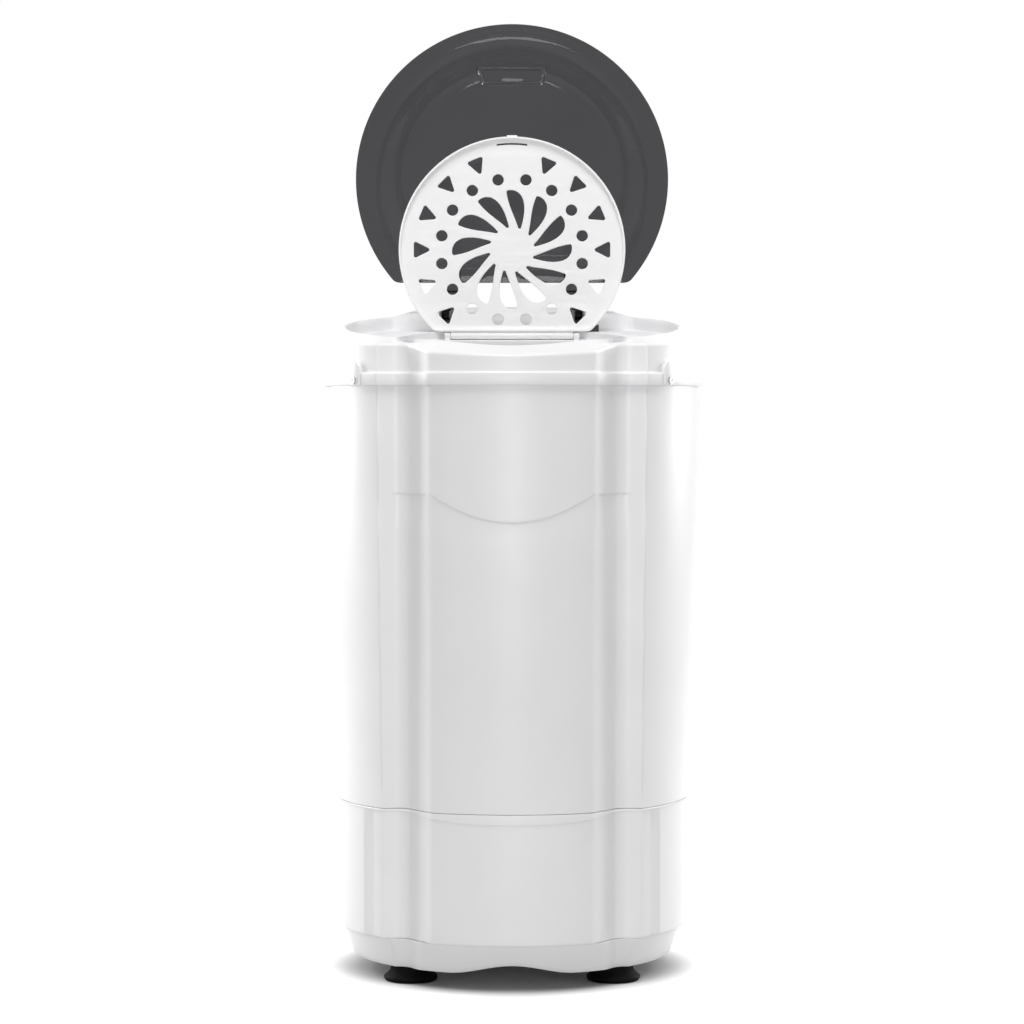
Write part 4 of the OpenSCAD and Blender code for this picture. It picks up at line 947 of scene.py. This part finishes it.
def makeCover():
    c = cover
    mesh = bmesh.new()
    mesh.from_mesh(coverPlate())
    bmesh.ops.remove_doubles(mesh, verts=mesh.verts[:], dist=0.002)
    bmesh.ops.translate(mesh, vec=(0, 0, c["top"] - c["plate"] / 2), verts=mesh.verts[:])
    low = c["top"] - c["skirt"]
    ring = [(0, c["top"] - 1.5), (-0.4, c["top"] - 0.4), (-1.5, c["top"]), (-2.5, c["top"] - 0.2),
            (-2.5, low + 0.6), (-1.9, low), (-0.6, low), (0, low + 0.6), (0, c["top"] - 1.5)]

    def rimRow(i, z):
        return lambda a: polar(deeRadius(a, c["r"] + i, c["flat"] + i, c["cornerSoft"]), a, z)
    skin(mesh, [rimRow(i, z) for i, z in ring])
    addRod(mesh, (-c["barrelHalf"], c["hingeY"], c["hingeZ"]),
           (c["barrelHalf"], c["hingeY"], c["hingeZ"]), c["barrelR"], c["barrelSoft"])
    addBlock(mesh, (-c["barrelHalf"], c["flat"] - 1.5, c["hingeZ"] - 1),
             (c["barrelHalf"], c["hingeY"], c["hingeZ"] + 1))
    addBlock(mesh, (-c["latchHalf"], -c["r"] - c["latchOut"], c["top"] - c["latchDeep"]),
             (c["latchHalf"], c["latchIn"] - c["r"], c["top"]), c["latchSoft"])
    opened = openedMatrix(c["hingeY"], c["hingeZ"])
    return dress(meshObject("innerCover", mesh, opened, c["sharp"]), "cover_body", "white_cover",
                 "inner_cover")


makeCover()
print("stage: inner cover")

foot = {"boreR": 6, "boreTop": 10, "turns": 72,
        "profile": [(6, 0), (23.6, 0), (24.9, 0.4), (26.4, 2.4), (27, 3.9), (26.6, 5.2),
                    (24.4, 6.8), (22.2, 8.6), (20.6, 10.6), (19.8, 13), (19.2, 17), (19, 19.9),
                    (6, 19.9)],
        "places": {"foot_front_left": (-101, -92), "foot_front_right": (101, -92),
                   "foot_rear_left": (-101, 92), "foot_rear_right": (101, 92)}}


def makeFoot(node, x, y):
    mesh = bmesh.new()
    points = [mesh.verts.new((r, 0, z)) for r, z in foot["profile"]]
    points.append(mesh.verts.new((foot["boreR"], 0, foot["boreTop"])))
    edges = [mesh.edges.new(pair) for pair in zip(points, points[1:] + points[:1])]
    bmesh.ops.spin(mesh, geom=points + edges, axis=(0, 0, 1), cent=(0, 0, 0), angle=2 * math.pi,
                   steps=foot["turns"], use_merge=True, use_duplicate=False)
    bmesh.ops.remove_doubles(mesh, verts=mesh.verts[:], dist=0.01)
    bmesh.ops.translate(mesh, vec=(x, y, 0), verts=mesh.verts[:])
    first, *rest = node.split("_")
    name = first + "".join(word.capitalize() for word in rest)
    return dress(meshObject(name, mesh), "cabinet", "black_rubber", node)


for footNode, (footX, footY) in foot["places"].items():
    makeFoot(footNode, footX, footY)
print("stage: feet")

spring = {"x": 65.0, "y": 142.473, "low": 607.6, "high": 636.4, "coilR": 5.0, "wire": 0.6,
          "turns": 9, "wireSides": 10, "turnSteps": 32}


def makeSpring():  # the return spring of the brake rod
    s = spring
    mesh = bmesh.new()
    ring = bmesh.ops.create_circle(mesh, segments=s["wireSides"], radius=s["wire"],
                                   matrix=Matrix.Rotation(math.pi / 2, 4, "X"))["verts"]
    bmesh.ops.translate(mesh, vec=(s["coilR"], 0, s["low"]), verts=ring)
    steps = s["turnSteps"] * s["turns"]
    rise = (s["high"] - s["low"]) / steps
    geom = ring + list({e for v in ring for e in v.link_edges})
    bmesh.ops.spin(mesh, geom=geom, axis=(0, 0, 1), cent=(0, 0, 0), dvec=(0, 0, rise),
                   angle=2 * math.pi * s["turns"], steps=steps, use_merge=False,
                   use_duplicate=False)
    bmesh.ops.holes_fill(mesh, edges=[e for e in mesh.edges if e.is_boundary])
    bmesh.ops.translate(mesh, vec=(s["x"], s["y"], 0), verts=mesh.verts[:])
    obj = dress(meshObject("returnSpring", mesh), "cabinet", "zinc_steel", "brake_spring")
    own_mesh(obj)
    return obj


makeSpring()
print("stage: spring")

# Lamps are in metres and watts: place, aim, width, height, power. The floor glows white from farR
# on and not at all inside nearR, both in metres, so that it keeps the shadow.
studio = {"floorR": 9000, "floorSides": 96, "paper": "#c4c4c4", "glowNear": 0.0, "glowFar": 1.0,
          "nearR": 0.14, "farR": 0.235, "world": 0.36,
          "lamps": {"left": ((-2.05, 1.25, 1.2), (0, 0, 0.45), 1.0, 1.6, 52),
                    "right": ((2.05, 1.25, 1.2), (0, 0, 0.45), 1.0, 1.6, 42),
                    "above": ((0, -0.9, 2.45), (0, 0, 0.5), 1.2, 1.2, 25),
                    "front": ((0, -3.5, 0.62), (0, 0, 0.5), 0.6, 0.9, 19)}}
white = (1, 1, 1, 1)


def seenDirectly(tree):  # camera, glossy and transmission rays
    path = addNode(tree, "ShaderNodeLightPath")
    either = addNode(tree, "ShaderNodeMath", {"operation": "MAXIMUM"},
                     {0: path.outputs["Is Camera Ray"], 1: path.outputs["Is Glossy Ray"]})
    both = addNode(tree, "ShaderNodeMath", {"operation": "MAXIMUM"},
                   {0: either.outputs[0], 1: path.outputs["Is Transmission Ray"]})
    return both.outputs[0]


def paperSweep():
    s = studio
    material = bpy.data.materials.new("paperSweep")
    material.use_nodes = True
    tree = material.node_tree
    tree.nodes.clear()
    paper = addNode(tree, "ShaderNodeBsdfDiffuse", {"Color": linear(s["paper"])})
    place = addNode(tree, "ShaderNodeTexCoord").outputs["Object"]
    reach = addNode(tree, "ShaderNodeVectorMath", {"operation": "LENGTH"}, {"Vector": place})
    spread = addNode(tree, "ShaderNodeMapRange", {
        "interpolation_type": "SMOOTHSTEP", "From Min": s["nearR"], "From Max": s["farR"],
        "To Min": s["glowNear"], "To Max": s["glowFar"]}, {"Value": reach.outputs["Value"]})
    strength = addNode(tree, "ShaderNodeMath", {"operation": "MULTIPLY"},
                       {0: seenDirectly(tree), 1: spread.outputs["Result"]})
    glow = addNode(tree, "ShaderNodeEmission", {"Color": white}, {"Strength": strength.outputs[0]})
    both = addNode(tree, "ShaderNodeAddShader", links={0: paper.outputs[0], 1: glow.outputs[0]})
    addNode(tree, "ShaderNodeOutputMaterial", links={"Surface": both.outputs[0]})
    return material


def makeWorld():
    world = bpy.data.worlds.new("studioWorld")
    world.use_nodes = True
    tree = world.node_tree
    tree.nodes.clear()
    plain = addNode(tree, "ShaderNodeBackground", {"Color": white, "Strength": studio["world"]})
    seen = addNode(tree, "ShaderNodeBackground", {"Color": white, "Strength": 1.0})
    mix = addNode(tree, "ShaderNodeMixShader",
                  links={0: seenDirectly(tree), 1: plain.outputs[0], 2: seen.outputs[0]})
    addNode(tree, "ShaderNodeOutputWorld", links={"Surface": mix.outputs[0]})
    bpy.context.scene.world = world


def makeStudio():
    mesh = bmesh.new()
    bmesh.ops.create_circle(mesh, cap_ends=True, segments=studio["floorSides"],
                            radius=studio["floorR"])
    floor = meshObject("studioFloor", mesh)
    floor.data.materials.append(paperSweep())
    makeWorld()
    for name, (place, aim, width, height, power) in studio["lamps"].items():
        lamp = bpy.data.lights.new(name + "Softbox", "AREA")
        lamp.shape, lamp.size, lamp.size_y, lamp.energy = "RECTANGLE", width, height, power
        obj = bpy.data.objects.new(lamp.name, lamp)
        obj.location = place
        obj.rotation_euler = (Vector(aim) - Vector(place)).to_track_quat("-Z", "Y").to_euler()
        bpy.context.scene.collection.objects.link(obj)


makeStudio()
bpy.context.scene.view_settings.view_transform = "Standard"
print("stage: studio")
